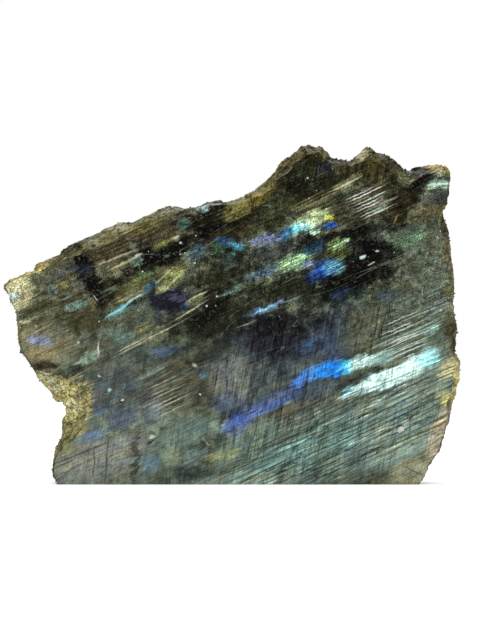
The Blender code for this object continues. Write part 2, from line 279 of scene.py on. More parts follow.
class Tree:
    """A node tree that is written as expressions."""

    def __init__(self, tree):
        self.tree = tree

    def node(self, kind, settings, sockets, result=None):
        """A node of a kind, with its settings and then its sockets set, as the field of its result."""
        made = self.tree.nodes.new(kind)
        for name, value in settings.items():
            setattr(made, name, value)
        for name, value in sockets.items():
            socket = pick(made.inputs, name)
            if isinstance(value, Field):
                self.tree.links.new(value.socket, socket)
            else:
                socket.default_value = value
        return Field(self, pick(made.outputs, result))

    def given(self):
        """The inputs of a node group, as fields by name."""
        sockets = self.tree.nodes.new("NodeGroupInput").outputs
        return {socket.name: Field(self, socket) for socket in sockets if socket.name}

    def give(self, results):
        """Hands fields out of a node group by name."""
        sockets = self.tree.nodes.new("NodeGroupOutput").inputs
        for name, field in results.items():
            self.tree.links.new(field.socket, sockets[name])

    def rise(self, value, low, high):
        """0 up to low and 1 from high on, with a smooth rise between; low may be above high."""
        return self.node(
            "ShaderNodeMapRange",
            {"interpolation_type": "SMOOTHSTEP", "clamp": False},
            {"Value": value, "From Min": low, "From Max": high},
        )

    def mixed(self, way, amount, under, over):
        return self.node(
            "ShaderNodeMix",
            {"data_type": "RGBA", "blend_type": way},
            {"Factor_Float": amount, "A_Color": under, "B_Color": over},
        )

    def blend(self, amount, under, over):
        """The colour over laid on the colour under by an amount."""
        return self.mixed("MIX", amount, under, over)

    def stained(self, colour, stain):
        return self.mixed("MULTIPLY", 1.0, colour, stain)

    def tinted(self, colour, amount):
        """A colour made lighter or darker by a field."""
        grey = self.node("ShaderNodeCombineColor", {}, {"Red": amount, "Green": amount, "Blue": amount})
        return self.stained(colour, grey)

    def vectors(self, operation, first, second):
        return self.node(
            "ShaderNodeVectorMath", {"operation": operation}, {"Vector": first, "Vector_001": second}
        )

    def times(self, vector, by):
        return self.vectors("MULTIPLY", vector, by)

    def plus(self, vector, other):
        return self.vectors("ADD", vector, other)

    def dot(self, vector, by):
        return self.vectors("DOT_PRODUCT", vector, by)

    def part(self, vector, axis):
        """One coordinate of a vector."""
        return self.node("ShaderNodeSeparateXYZ", {}, {"Vector": vector}, axis)

    def flat(self, x, z):
        """A place on the face for a mark's sums, whose third number is always 1."""
        return self.node("ShaderNodeCombineXYZ", {}, {"X": x, "Y": z, "Z": 1.0})

    def turned(self, place, angle):
        """A place turned in the plane of the face."""
        return self.node(
            "ShaderNodeMapping", {"vector_type": "POINT"}, {"Vector": place, "Rotation": (0, angle, 0)}
        )

    def bent(self, place, waves):
        """A place moved by waves of noise: their span, and their reach along and across, in mm."""
        for span, along, across in waves:
            wave = self.node(
                "ShaderNodeTexNoise", {}, {"Vector": place, "Scale": 1 / span, "Detail": 1.0}, "Color"
            )
            centred = self.plus(wave, (-0.5, -0.5, -0.5))
            place = self.plus(place, self.times(centred, (2 * along, 0.0, 2 * across)))
        return place

    def cells(self, place, span):
        """Angular cells of a span in mm, each with one random value from 0 to 1."""
        cell = self.node("ShaderNodeTexVoronoi", {}, {"Vector": place, "Scale": 1 / span}, "Color")
        return self.node("ShaderNodeSeparateColor", {}, {"Color": cell}, "Red")

    def cloud(self, place, span, detail=2.0, roughness=0.5):
        """Soft noise round 0.5. span is its size in mm, along the sheets, through them and across."""
        near = self.times(place, tuple(1 / s for s in span))
        return self.node(
            "ShaderNodeTexNoise", {}, {"Vector": near, "Scale": 1.0, "Detail": detail, "Roughness": roughness}
        )


def group_tree(name, kind, inputs, outputs):
    """The tree of a new node group, whose sockets are rows of a name, a kind and perhaps a value."""
    group = bpy.data.node_groups.new(name, kind)
    for way, rows in (("INPUT", inputs), ("OUTPUT", outputs)):
        for label, sort, *value in rows:
            socket = group.interface.new_socket(label, in_out=way, socket_type="NodeSocket" + sort)
            if value:
                socket.default_value = value[0]
    return Tree(group)


class Finish(Tree):
    """A material for one kind of surface."""

    def __init__(self, name, roughness):
        self.material = bpy.data.materials.new(name)
        self.material.use_nodes = True
        super().__init__(self.material.node_tree)
        self.shader = self.tree.nodes["Principled BSDF"]
        self.shader.inputs["Roughness"].default_value = roughness
        self.shader.inputs["IOR"].default_value = FELDSPAR_IOR

    def feed(self, socket, field):
        self.tree.links.new(field.socket, self.shader.inputs[socket])

    def emboss(self, strength, depth, height):
        """Bends the light as a relief of a depth in mm would."""
        sockets = {"Strength": strength, "Distance": depth * MM, "Height": height}
        self.feed("Normal", self.node("ShaderNodeBump", {}, sockets, "Normal"))


# %% [markdown]
# ## The palette
#
# Each colour is a plain sRGB value, as seen on a good screen, and is turned into linear light once. It
# is divided by how much brighter than itself a colour looks in the studio's light.

# %% Colours
SEEN = {
    "BLACK": (9, 11, 8), "BLACK_BROWN": (27, 25, 17), "BLACK_SLATE": (26, 26, 32),
    "DARK_BROWN": (56, 45, 29), "DARK_BROWN_OLIVE": (72, 61, 30), "DARK_OLIVE": (72, 68, 44),
    "DARK_GREY": (60, 59, 58), "DARK_GREY_BROWN": (78, 73, 57), "DARK_GREEN_GREY": (62, 68, 60),
    "DARK_SLATE": (46, 46, 54), "SLATE_DARK": (54, 62, 77), "SLATE": (78, 88, 98),
    "SLATE_BLUE": (86, 100, 124), "VIOLET_GREY": (98, 97, 114), "WARM_GREY": (104, 102, 90),
    "GREY": (78, 80, 75), "GREY_BROWN": (98, 90, 72), "BROWN": (86, 70, 44), "OLIVE": (110, 106, 62),
    "OLIVE_GREY": (112, 108, 82), "OLIVE_GREY_DARK": (94, 94, 74), "OLIVE_LIGHT": (140, 138, 84),
    "GREEN_GREY": (98, 104, 88), "GREEN_GREY_LIGHT": (118, 138, 112), "TAN_GREY": (134, 128, 100),
    "TAN": (160, 147, 110), "STRAW_GREY": (146, 146, 112), "STRAW": (190, 192, 124),
    "PALE_STRAW": (220, 218, 180), "PALE_STRAW_SOFT": (202, 200, 164), "GOLD_DULL": (172, 154, 82),
    "GOLD": (200, 178, 98), "PALE_GOLD": (226, 216, 144), "YELLOW_GREEN": (160, 172, 92),
    "YELLOW_BRIGHT": (198, 204, 66), "GREEN": (84, 122, 92), "GREEN_BRIGHT": (110, 170, 122),
    "GREEN_CYAN": (130, 182, 150), "GREEN_TEAL": (84, 122, 112), "PALE_GREEN": (182, 222, 176),
    "PALE_GREEN_WHITE": (200, 234, 206), "PALE_GREEN_GREY": (150, 168, 148), "CYAN_GREY": (112, 138, 130),
    "CYAN_GREY_LIGHT": (152, 190, 180), "SOFT_CYAN": (110, 162, 168), "CYAN_DULL": (100, 150, 165),
    "CYAN_SOFT": (96, 172, 190), "CYAN": (120, 214, 230), "PALE_CYAN": (158, 232, 236),
    "WHITE_CYAN": (222, 255, 247), "PALE_BLUE_WHITE": (182, 202, 204), "AZURE": (18, 154, 254),
    "BLUE_BRIGHT": (84, 156, 228), "DEEP_BLUE": (16, 98, 196), "BLUE_SOFT": (52, 102, 150),
    "BLUE_DARK": (52, 72, 112), "VIOLET": (86, 118, 194), "VIOLET_GREY_BLUE": (96, 112, 152),
    "LAVENDER": (140, 150, 182), "SOFT_BLUE": (74, 106, 146), "SOFT_BLUE_BRIGHT": (100, 128, 172),
    "SOFT_BLUE_GREY": (92, 116, 142), "SOFT_BLUE_TEAL": (88, 134, 162), "MOSS": (58, 60, 42),
    "MOSS_DARK": (42, 44, 32), "MOSS_BLACK": (24, 27, 18), "MOSS_PALE": (134, 146, 122),
    "EARTH": (58, 52, 32), "EARTH_DARK": (44, 40, 22), "MIST": (113, 130, 121),
    "MIST_LIGHT": (133, 148, 137), "ASH": (130, 133, 125), "STONE": (130, 128, 106),
    "STONE_LIGHT": (150, 150, 126), "SLATE_GREY": (84, 90, 90), "SLATE_LIGHT": (124, 140, 142),
    "SLATE_FOOT": (64, 74, 72), "BLACK_GREY": (44, 43, 38), "NAVY": (32, 38, 68), "RUST": (124, 72, 40),
    "RED_DARK": (70, 16, 24), "PALE_LINE": (228, 228, 214), "WHITE": (250, 250, 244),
    "GOLD_LINE": (198, 178, 112), "GOLD_PALE": (210, 200, 146), "OLIVE_GOLD": (124, 112, 56),
    "OLIVE_DEEP": (82, 76, 42), "OLIVE_RIM": (90, 80, 28), "FROST": (205, 232, 218),
    "VIOLET_DUSK": (78, 82, 112), "VIOLET_END": (104, 158, 246), "LIME_PALE": (216, 230, 180),
    "BEIGE": (172, 163, 138), "CYAN_AZURE": (92, 212, 244), "PURPLE_DARK": (62, 62, 68),
    "TEAL_BLACK": (26, 46, 48), "TEAL_BLUE": (60, 104, 126), "TEAL_DEEP": (28, 88, 124),
}


STUDIO_LIGHT = 1.4


def linear(colour):
    """An sRGB colour from 0 to 255 as linear light for the studio, with full alpha."""
    shares = [value / 255 for value in colour]
    light = [s / 12.92 if s <= 0.04045 else ((s + 0.055) / 1.055) ** 2.4 for s in shares]
    return (*(value / STUDIO_LIGHT for value in light), 1.0)


PALETTE = {name: linear(colour) for name, colour in SEEN.items()}
print("colours:", len(PALETTE))

# %% [markdown]
# ## What lies where
#
# Each mark is one row: what it is, its middle (x, z in mm), its half length and half width in mm, its
# climb in degrees, its colour, how strong it is and how crisp its edge is. Rows are laid in their
# order, so a later one lies on the ones before it.
#
# The first layer is the ground: what the stone looks like from across a room, before any of its lines
# and flashes are told apart.

# %% Ground of the face
GROUND = [
    ("olive of the upper left", -51.5, 102, 54.9, 21, 24, "OLIVE_GREY_DARK", 0.8, 0.1),
    ("mist of the lower left", -51.5, 20.5, 34.3, 22.9, 10, "MIST_LIGHT", 0.45, 0.1),
    ("left tip", -98.5, 88, 7.8, 9.2, 0, "PALE_STRAW_SOFT", 0.75, 0.2),
    ("left middle", -88, 62.5, 16.5, 11, 8, "STONE", 0.9, 0.2),
    ("left middle brown", -86.5, 59.5, 8.2, 3.7, 8, "TAN_GREY", 0.6, 0.2),
    ("left dark patch", -69, 75.5, 10.1, 5.9, 10, "DARK_OLIVE", 0.75, 0.3),
    ("grey under the bright streak", -44.5, 70.5, 19.2, 10.1, 24, "GREEN_GREY", 0.75, 0.3),
    ("lamella wedge", -44.5, 111.5, 29.3, 8.7, 24, "DARK_GREY_BROWN", 0.95, 0.5),
    ("olive under the wedge", -47, 92, 22.9, 5.5, 26, "DARK_OLIVE", 0.6, 0.3),
    ("brown heart", -5, 118.5, 20.1, 9.6, 16, "EARTH", 0.95, 0.4),
    ("grey under the ring", -9.5, 92, 18.3, 9.2, 24, "MOSS", 0.9, 0.3),
    ("dark middle", -9.5, 76, 28.4, 10.1, 16, "MOSS_DARK", 0.85, 0.3),
    ("brown band", 25.5, 90.5, 21, 5.9, 14, "MOSS", 0.9, 0.3),
    ("dark ground under the blues", 41, 92.5, 25.6, 10.1, 14, "MOSS_BLACK", 0.5, 0.2),
    ("slate of the middle", 13.5, 56, 34.8, 15.6, 12, "SLATE", 0.6, 0.1),
    ("slate left of the middle", -47, 47, 18.3, 15.6, 20, "SLATE_GREY", 0.5, 0.1),
    ("slate heart", 18, 68, 20.1, 12.8, 10, "DARK_SLATE", 0.92, 0.3),
    ("slate under the blue", 45.5, 69, 13.7, 11.9, 80, "SLATE_DARK", 0.8, 0.3),
    ("grey right of the slate", 63.5, 70.5, 18.3, 11, 18, "GREEN_GREY", 0.7, 0.3),
    ("right grey", 86, 102, 14.6, 20.1, 90, "GREEN_GREY", 0.9, 0.4),
    ("brown of the right rim", 98, 104.5, 4.1, 2.7, 86, "GREY_BROWN", 0.85, 0.3),
    ("dark of the right rim", 100, 95, 3.7, 2.1, 88, "DARK_GREY_BROWN", 0.8, 0.3),
    ("olive of the right rim", 99, 88.5, 2.7, 2.5, 86, "OLIVE", 0.7, 0.3),
    ("straw of the right rim", 99.5, 81, 3, 2.3, 86, "STRAW_GREY", 0.95, 0.3),
    ("grey of the right rim", 100, 74.5, 3.7, 2.3, 86, "GREY", 0.7, 0.3),
    ("violet grey of the lines", -37.5, 38.5, 11.9, 4.6, 85, "VIOLET_GREY", 0.55, 0.2),
    ("right shimmer ground", 82, 74.5, 19.2, 12.8, 24, "GREEN_GREY", 0.85, 0.3),
    ("upper olive", 26, 130, 24.7, 11.9, 24, "MOSS", 0.95, 0.4),
    ("peak brown", 30.5, 143, 19.2, 11.9, 10, "MOSS", 0.95, 0.4),
    ("lined brown", 63, 128, 21, 10.1, 27, "EARTH", 0.75, 0.3),
    ("right peak olive", 63.5, 145.5, 14.6, 8.2, 0, "OLIVE_DEEP", 0.9, 0.3),
    ("olive of the slope", 9.5, 130, 11, 3.7, 38, "OLIVE_GOLD", 0.95, 0.2),
    ("olive under the slope", 22.5, 139.5, 9.2, 3.7, 46, "EARTH", 0.7, 0.2),
    ("olive of the peak", 33.5, 149.5, 11, 4.1, 6, "OLIVE_DEEP", 0.8, 0.2),
    ("olive of the saddle", 51.5, 145.5, 8.2, 2.7, 10, "EARTH_DARK", 0.8, 0.2),
    ("straw of the wedge edge", -38, 118.5, 9.2, 2.7, 26, "OLIVE", 0.6, 0.2),
    ("gold spots of the peak", 26, 149.5, 3.7, 1.8, 60, "OLIVE_LIGHT", 0.9, 0.2),
    ("gold spots of the right peak", 59, 151, 4.6, 2.3, 40, "OLIVE_LIGHT", 0.8, 0.2),
    ("gold spots of the slope", 4, 127.5, 4.6, 1.8, 40, "OLIVE_GOLD", 0.9, 0.2),
    ("olive band to the corner", 77.5, 126.5, 12.8, 6.4, 62, "EARTH_DARK", 0.95, 0.4),
    ("corner grey", 93.5, 130, 6.4, 5, 0, "GREY", 0.95, 0.6),
    ("corner olive", 87.5, 123, 6.4, 4.6, 20, "OLIVE_GREY", 0.7, 0.4),
    ("violet grey", -57, 44, 15.6, 10.1, 24, "SLATE_GREY", 0.85, 0.2),
    ("bottom left grey", -64.5, 10.5, 22.9, 10.1, 6, "ASH", 0.95, 0.3),
    ("grey green left of the pit", -50.5, 17, 11.9, 5.5, 12, "ASH", 0.8, 0.2),
    ("lined grey", -26, 44, 19.2, 11.9, 24, "DARK_GREY_BROWN", 0.75, 0.3),
    ("grey by the pit", -21, 24.5, 12.8, 6.4, 20, "MIST", 0.85, 0.3),
    ("central grey", -0.5, 48.5, 11, 10.1, 75, "ASH", 0.6, 0.3),
    ("soft blue grey", -2, 37, 9.2, 5.5, 20, "SLATE_BLUE", 0.5, 0.2),
    ("brown streak", 31.5, 33, 20.1, 5.9, 20, "WARM_GREY", 0.7, 0.4),
    ("grey before the stripes", 8, 17.5, 18.3, 8.2, 22, "MIST", 0.85, 0.3),
    ("broad shimmer", 50, 19.5, 58.6, 17.4, 21, "MIST", 0.95, 0.35),
    ("cyan of the shimmer", 40, 17.5, 28.4, 8.2, 22, "CYAN_GREY", 0.6, 0.2),
    ("right end of the shimmer", 76.5, 20.5, 20.1, 11.9, 22, "MIST_LIGHT", 0.9, 0.3),
    ("stripes over the shimmer", 76.5, 39.5, 23.8, 5.9, 22, "MIST_LIGHT", 0.85, 0.4),
    ("slate under the azure", 39, 43, 11.9, 4.1, 20, "SLATE", 0.8, 0.3),
    ("bright right end", 92, 52.5, 11.9, 11, 40, "MIST_LIGHT", 0.7, 0.1),
    ("tan edge", 96, 20.5, 15.6, 6.9, 76, "BEIGE", 0.95, 0.5),
    ("tan corner", 82, 5.5, 11, 5.9, 12, "STONE_LIGHT", 0.9, 0.4),
    ("pale foot", 9, 2, 27.5, 4.1, 6, "MIST_LIGHT", 0.7, 0.2),
    ("dark foot left", -19.5, 5.5, 10.1, 4.6, 14, "SLATE_FOOT", 0.6, 0.3),
]
print("ground:", len(GROUND), "marks")

# %% [markdown]
# ## Flashes
#
# Light that enters the stone is thrown back by its sheets, those of each thickness in their own colour.
# A flash is long along the sheets and ends in a comb, because each sheet stops at its own place. The
# last number of a row is how far it is broken into lines: 0 is a whole patch, and 1 is lines alone.

# %% Flashes of the face
FLASHES = [
    ("great band left end", 54, 43, 3.2, 2.3, 22, "CYAN", 0.95, 0.5, 0.4),
    ("great band", 69, 48, 18.3, 3.9, 22, "WHITE_CYAN", 1, 0.6, 0.25),
    ("great band right", 83, 53.5, 11.9, 4.6, 38, "WHITE_CYAN", 1, 0.5, 0.25),
    ("great band cyan", 90, 57.5, 4.6, 4.6, 60, "PALE_CYAN", 0.85, 0.2, 0.25),
    ("great band tip", 93, 61.5, 4.6, 2.1, 24, "MIST", 0.6, 0.3, 0.7),
    ("thin cyan over the band", 63.5, 50.5, 4.1, 0.8, 12, "CYAN", 0.2, 0.3, 0.3),
    ("violet end of the azure", 31, 48, 4.6, 2.5, 38, "VIOLET_END", 0.9, 0.2, 0.15),
    ("blue of the azure", 36, 51.5, 5, 3.7, 30, "BLUE_BRIGHT", 0.95, 0.3, 0.4),
    ("azure core", 44.5, 53, 6.9, 3.7, 10, "AZURE", 1, 0.5, 0.25),
    ("azure to cyan", 52, 54, 3.7, 3.4, 20, "CYAN_AZURE", 0.85, 0.3, 0.1),
    ("pale end of the azure", 61, 56, 8.2, 3.2, 12, "WHITE_CYAN", 0.95, 0.5, 0.25),
    ("faint end of the azure", 70, 58, 6.4, 3.2, 20, "CYAN_GREY_LIGHT", 0.9, 0.3, 0.4),
    ("soft blue above", 34.5, 64.5, 5, 3.2, 40, "SOFT_BLUE", 0.6, 0, 0.1),
    ("blue haze", 43.5, 63.5, 6.4, 7.3, 80, "SLATE_BLUE", 0.4, 0.1, 0.1),
    ("blue violet haze", 16, 37.5, 10.1, 4.6, 24, "VIOLET_GREY_BLUE", 0.5, 0.1, 0.1),
    ("blue violet streak", 2.5, 28.5, 10.1, 3.9, 18, "VIOLET", 0.8, 0.2, 0.15),
    ("blue violet middle", 11, 33.5, 7.3, 3.7, 24, "VIOLET_GREY_BLUE", 0.85, 0.2, 0.3),
    ("blue violet lines", 21, 38.5, 11.9, 3.7, 24, "VIOLET", 0.8, 0.3, 0.8),
    ("violet under it", 2.5, 23.5, 5.5, 2.3, 20, "LAVENDER", 0.6, 0.1, 0.2),
    ("whitish spot", -7.5, 26.5, 2.7, 3.2, 80, "PALE_GREEN_GREY", 0.7, 0.1, 0.1),
    ("green in the violet", 7, 23, 3.7, 1.8, 45, "GREEN_GREY_LIGHT", 0.8, 0.2, 0.2),
    ("straw row", -5, 13.5, 9.2, 2.1, 14, "STRAW", 0.6, 0.3, 0.5),
    ("upper streaks", 53, 139, 6.9, 1.6, 24, "STRAW_GREY", 0.95, 0.5, 0.6),
    ("gold knob of the right peak", 59, 151, 4.1, 2.1, 40, "GOLD_DULL", 0.8, 0.2, 0.2),
    ("fan of lines", 59, 128, 14.6, 4.6, 25, "STONE", 0.4, 0.3, 1),
    ("fan of lines left", 37.5, 129, 12.8, 2.7, 27, "OLIVE_GREY", 0.9, 0.4, 0.9),
    ("pale band right of the fan", 66, 126.5, 6.9, 2.7, 30, "PALE_GREEN_GREY", 0.8, 0.3, 0.3),
    ("pale green patch", 36.5, 121.5, 9.2, 3.2, 24, "LIME_PALE", 0.9, 0.3, 0.3),
    ("pale green of the patch left", 31.5, 118.5, 6.4, 2.3, 20, "PALE_GREEN_WHITE", 0.85, 0.3, 0.2),
    ("yellow green spot", 44, 122.5, 3.2, 1.8, 10, "YELLOW_BRIGHT", 0.65, 0.4, 0.2),
    ("pure blue spot", 43.5, 118, 3.2, 2.1, 8, "DEEP_BLUE", 0.8, 0.5, 0.1),
    ("cyan under the patch", 28.5, 116, 5.9, 2.7, 18, "CYAN", 0.95, 0.3, 0.3),
    ("green at its end", 35.5, 115.5, 3.2, 2.3, 30, "PALE_GREEN_WHITE", 1, 0.3, 0.3),
    ("azure left of it", 23.5, 114, 3.7, 2.7, 30, "BLUE_SOFT", 0.85, 0.2, 0.3),
    ("violet tail", 15.5, 112, 6.4, 3, 16, "LAVENDER", 0.8, 0.3, 0.2),
    ("purple grey", 20, 106.5, 9.2, 3.7, 12, "PURPLE_DARK", 0.9, 0.1, 0.1),
    ("teal blue", 36, 107, 5.9, 2.7, 24, "TEAL_DEEP", 0.8, 0.2, 0.5),
    ("green yellow", 47.5, 107, 5, 4.6, 40, "YELLOW_GREEN", 0.6, 0.2, 0.6),
    ("pale sparks", 48, 109, 5, 1.6, 28, "PALE_GREEN", 0.7, 0.4, 0.7),
    ("pale green sparkle", 27.5, 101, 9.2, 3.7, 18, "PALE_GREEN", 0.95, 0.2, 0.5),
    ("gold of the sparkle", 22.5, 99, 3.2, 1.8, 20, "OLIVE_LIGHT", 0.7, 0.2, 0.3),
    ("lavender edge", 34.5, 100.5, 3.7, 1.8, 30, "LAVENDER", 0.9, 0.3, 0.3),
    ("strong blue", 41, 97.5, 8.2, 3.7, 24, "DEEP_BLUE", 0.95, 0.3, 0.5),
    ("cyan lines in the blue", 46, 99, 5, 3.2, 30, "PALE_CYAN", 0.9, 0.3, 0.7),
    ("blue grey tail", 13.5, 97, 8.2, 2.7, 16, "SOFT_BLUE_GREY", 0.7, 0.1, 0.2),
    ("ring cyan", 2, 109, 2.3, 4.1, 80, "CYAN_SOFT", 0.85, 0.3, 0.2),
    ("ring blue", -3, 111.5, 4.6, 2.1, 10, "BLUE_SOFT", 0.85, 0.2, 0.2),
    ("ring green", -7, 107.5, 2.7, 3.2, 60, "GREEN", 0.7, 0.2, 0.2),
    ("ring green below", -1.5, 104.5, 2.7, 1.6, 30, "GREEN_TEAL", 0.8, 0.3, 0.1),
    ("ring teal", -4, 102, 5.9, 2.3, 10, "TEAL_BLACK", 0.9, 0.1, 0.3),
    ("blue left of the ring", -17, 106, 4.6, 3.2, 30, "TEAL_BLUE", 0.75, 0.1, 0.2),
    ("olive glow of the slope", 2, 127, 8.2, 3.7, 30, "OLIVE_LIGHT", 0.7, 0.1, 0.2),
    ("orange by the blue", -12.5, 109, 1.4, 0.9, 0, "RUST", 0.7, 0.2, 0),
    ("straw green patch", -28.5, 94.5, 6.9, 4.1, 44, "YELLOW_GREEN", 0.6, 0.2, 0.4),
    ("straw tip of the patch", -26, 97.5, 3.2, 2.3, 50, "STRAW", 0.5, 0.2, 0.4),
    ("pale streak of the patch", -33, 90.5, 4.1, 1.4, 30, "STRAW_GREY", 0.8, 0.3, 0.3),
    ("green streaks", -41, 96, 6.4, 1.8, 26, "GREEN_BRIGHT", 0.5, 0.2, 0.7),
    ("straw under the green", -42.5, 93, 7.3, 2.3, 26, "OLIVE_LIGHT", 0.45, 0.2, 0.7),
    ("long cyan streak", -48, 82.5, 11, 2.1, 30, "CYAN_GREY", 0.7, 0.2, 0.7),
    ("bright of the streak", -50, 81.5, 4.1, 1.8, 30, "CYAN", 0.35, 0.2, 0.3),
    ("tan above the streak", -48, 87, 6.4, 1.8, 24, "STRAW_GREY", 0.7, 0.2, 0.5),
    ("azure above the black", -37.5, 91.5, 2.7, 2.3, 60, "TEAL_BLUE", 0.85, 0.2, 0.1),
    ("blue rim of the black", -26, 86, 4.1, 1.8, -16, "VIOLET_GREY", 0.6, 0.2, 0.1),
    ("azure right of the black", -23, 81.5, 1.8, 1.8, 60, "BLUE_SOFT", 0.8, 0.3, 0.1),
    ("slate below the black", -34.5, 76.5, 3.2, 2.7, 40, "SLATE_DARK", 0.7, 0.1, 0.1),
    ("straw right of the black", -18, 83.5, 5.5, 2.3, 28, "STRAW_GREY", 0.6, 0.3, 0.5),
    ("teal in the wedge", -22.5, 119.5, 3.2, 2.7, 60, "GREEN_TEAL", 0.75, 0.1, 0.2),
    ("pale green at the edge", -13, 127, 2.7, 1.8, 10, "PALE_BLUE_WHITE", 0.7, 0.2, 0.2),
    ("green band of the wedge", -31, 111, 7.3, 1.2, 24, "YELLOW_GREEN", 0.8, 0.3, 0.4),
    ("pale streak of the wedge", -51, 103, 11, 1.8, 22, "OLIVE_GREY", 0.25, 0.2, 0.8),
    ("pale streak above it", -50, 101, 10.1, 1.1, 24, "STRAW_GREY", 0.35, 0.3, 0.7),
    ("soft blue in the wedge", -43.5, 102.5, 2.3, 2.7, 80, "CYAN_GREY", 0.7, 0.1, 0.1),
    ("slate green left", -82.5, 92, 4.6, 5, 80, "SLATE_GREY", 0.5, 0.1, 0.1),
    ("blue left", -82, 88.5, 3.2, 2.3, 10, "CYAN_GREY", 0.6, 0.1, 0.1),
    ("slate left", -77.5, 96.5, 3.2, 2.3, 20, "SLATE", 0.7, 0.1, 0.1),
    ("olive left", -76.5, 91, 3.2, 1.8, 10, "OLIVE_LIGHT", 0.7, 0.2, 0.1),
    ("grey blue left", -69, 91.5, 2.7, 2.7, 60, "SLATE_GREY", 0.9, 0.1, 0.1),
    ("navy at the band", -69.5, 99, 2.3, 5, 80, "NAVY", 0.8, 0.2, 0.1),
    ("pale left edge", -101, 85.5, 2.1, 3, 76, "PALE_BLUE_WHITE", 1, 0.2, 0.1),
    ("pale tip", -99.5, 91, 5, 3.7, 20, "PALE_STRAW", 0.7, 0.2, 0.1),
    ("cyan streak left", -71.5, 81.5, 3.7, 1.6, 10, "CYAN_GREY", 1, 0.2, 0.2),
    ("straw left", -91, 90.5, 4.1, 5, 80, "OLIVE_LIGHT", 0.12, 0.1, 0.1),
    ("straw streak left", -94.5, 74, 3.7, 1.4, 20, "PALE_STRAW_SOFT", 0.8, 0.2, 0.3),
    ("lavender flash", -87.5, 66, 6.4, 2.1, -2, "LAVENDER", 0.85, 0.2, 0.1),
    ("tan under the lavender", -87.5, 59.5, 6.4, 2.3, -4, "TAN", 0.6, 0.1, 0.1),
    ("cyan under the pair", -50.5, 67.5, 5.5, 2.3, 14, "SOFT_CYAN", 0.35, 0.1, 0.3),
    ("gold by it", -42, 71.5, 3.7, 2.3, 30, "OLIVE_LIGHT", 0.6, 0.2, 0.3),
    ("light left middle", -66, 59, 5.5, 2.7, 34, "PALE_GREEN_GREY", 0.9, 0.1, 0.2),
    ("blue left of middle", -32, 60.5, 5.9, 2.7, 14, "SOFT_BLUE_GREY", 0.75, 0.1, 0.1),
    ("slate after it", -23, 61.5, 3.7, 2.3, 20, "SLATE_DARK", 0.7, 0.1, 0.2),
    ("green cyan streak", -37.5, 52, 8.7, 1.6, 26, "PALE_GREEN_GREY", 0.75, 0.2, 0.6),
    ("white lines left", -28.5, 48.5, 11, 4.6, 25, "PALE_GREEN_GREY", 0.35, 0.2, 1),
    ("white lines left below", -26, 39, 10.1, 4.1, 24, "PALE_GREEN_GREY", 0.35, 0.2, 1),
    ("blue grey of the lines", -36, 35, 5, 4.6, 60, "SLATE_LIGHT", 0.85, 0.2, 0.3),
    ("violet left of it", -50, 30.5, 7.3, 3.7, 20, "VIOLET_DUSK", 0.7, 0.1, 0.1),
    ("small cyan", -13.5, 50, 2.3, 1.6, 20, "CYAN_DULL", 0.8, 0.2, 0.3),
    ("pale cyan streak", 0, 88.5, 5, 1.3, 22, "CYAN_GREY", 0.9, 0.2, 0.4),
    ("cyan blue streak", 14.5, 80.5, 7.3, 1.3, 24, "SOFT_BLUE_BRIGHT", 0.9, 0.3, 0.3),
    ("white of the streak", 14.5, 80.5, 5, 0.9, 24, "PALE_CYAN", 0.75, 0.3, 0.3),
    ("violet of the streak", 19.5, 83, 2.7, 0.9, 20, "LAVENDER", 0.8, 0.3, 0.2),
    ("teal right", 51.5, 85.5, 9.2, 4.1, 20, "TEAL_BLACK", 0.95, 0.1, 0.4),
    ("blue in the teal", 49, 87.5, 3.7, 2.3, 20, "BLUE_DARK", 0.6, 0.1, 0.3),
    ("slate blue right", 70.5, 86, 5.9, 1.5, 4, "SLATE_BLUE", 0.4, 0.2, 0.1),
    ("green streaks right", 80, 112, 8.7, 3.2, 20, "GREEN_CYAN", 0.5, 0.2, 0.8),
    ("cyan speckle right", 85.5, 83.5, 13.7, 8.2, 22, "MIST", 0.5, 0.1, 0.8),
    ("pale lines of the speckle", 87.5, 81.5, 12.8, 5.5, 24, "PALE_BLUE_WHITE", 0.45, 0.2, 1),
    ("right shimmer lines", 80, 67, 15.6, 6.4, 25, "FROST", 0.4, 0.2, 1),
    ("cyan end of them", 91, 70, 4.1, 2.3, 24, "CYAN_GREY_LIGHT", 0.85, 0.2, 0.5),
    ("corner gold", 95, 144, 5.5, 3.2, 20, "PALE_STRAW", 1, 0.3, 0.4),
    ("corner white green", 94.5, 137, 5.9, 2, 8, "PALE_GREEN_WHITE", 0.7, 0.4, 0.4),
    ("blue under the peak", 42.5, 145, 4.6, 2.7, 6, "NAVY", 0.7, 0.1, 0.1),
    ("right gold", 99.5, 53.5, 5.9, 4.6, 50, "GOLD_PALE", 0.85, 0.3, 0.4),
    ("right gold below", 99, 39.5, 3.7, 5, 80, "PALE_GOLD", 1, 0.4, 0.4),
    ("blue low left", -64.5, 21.5, 6.4, 2.5, 14, "SOFT_BLUE_BRIGHT", 0.55, 0.1, 0.1),
    ("violet low left", -51.5, 27.5, 5.5, 2.7, 10, "VIOLET_DUSK", 0.7, 0.1, 0.1),
    ("slate blue low left", -59, 34, 4.1, 2.7, 20, "SLATE_BLUE", 0.6, 0.1, 0.1),
    ("blue low", -39, 9, 3.7, 5, 80, "SOFT_BLUE_TEAL", 0.5, 0.1, 0.2),
    ("green low", -28.5, 11, 4.1, 5, 70, "MOSS_PALE", 0.85, 0.1, 0.2),
    ("slate low", -17, 12.5, 5.9, 3.7, 20, "SLATE_LIGHT", 0.75, 0.1, 0.2),
    ("bright shimmer", 30, 17.5, 7.8, 2.7, 22, "CYAN_GREY_LIGHT", 0.9, 0.1, 0.7),
    ("bright shimmer right", 49, 18.5, 9.2, 3.7, 24, "CYAN_GREY_LIGHT", 0.5, 0.1, 0.6),
    ("bright shimmer below", 13.5, 6.5, 11, 2.7, 22, "CYAN_GREY_LIGHT", 0.3, 0.1, 0.8),
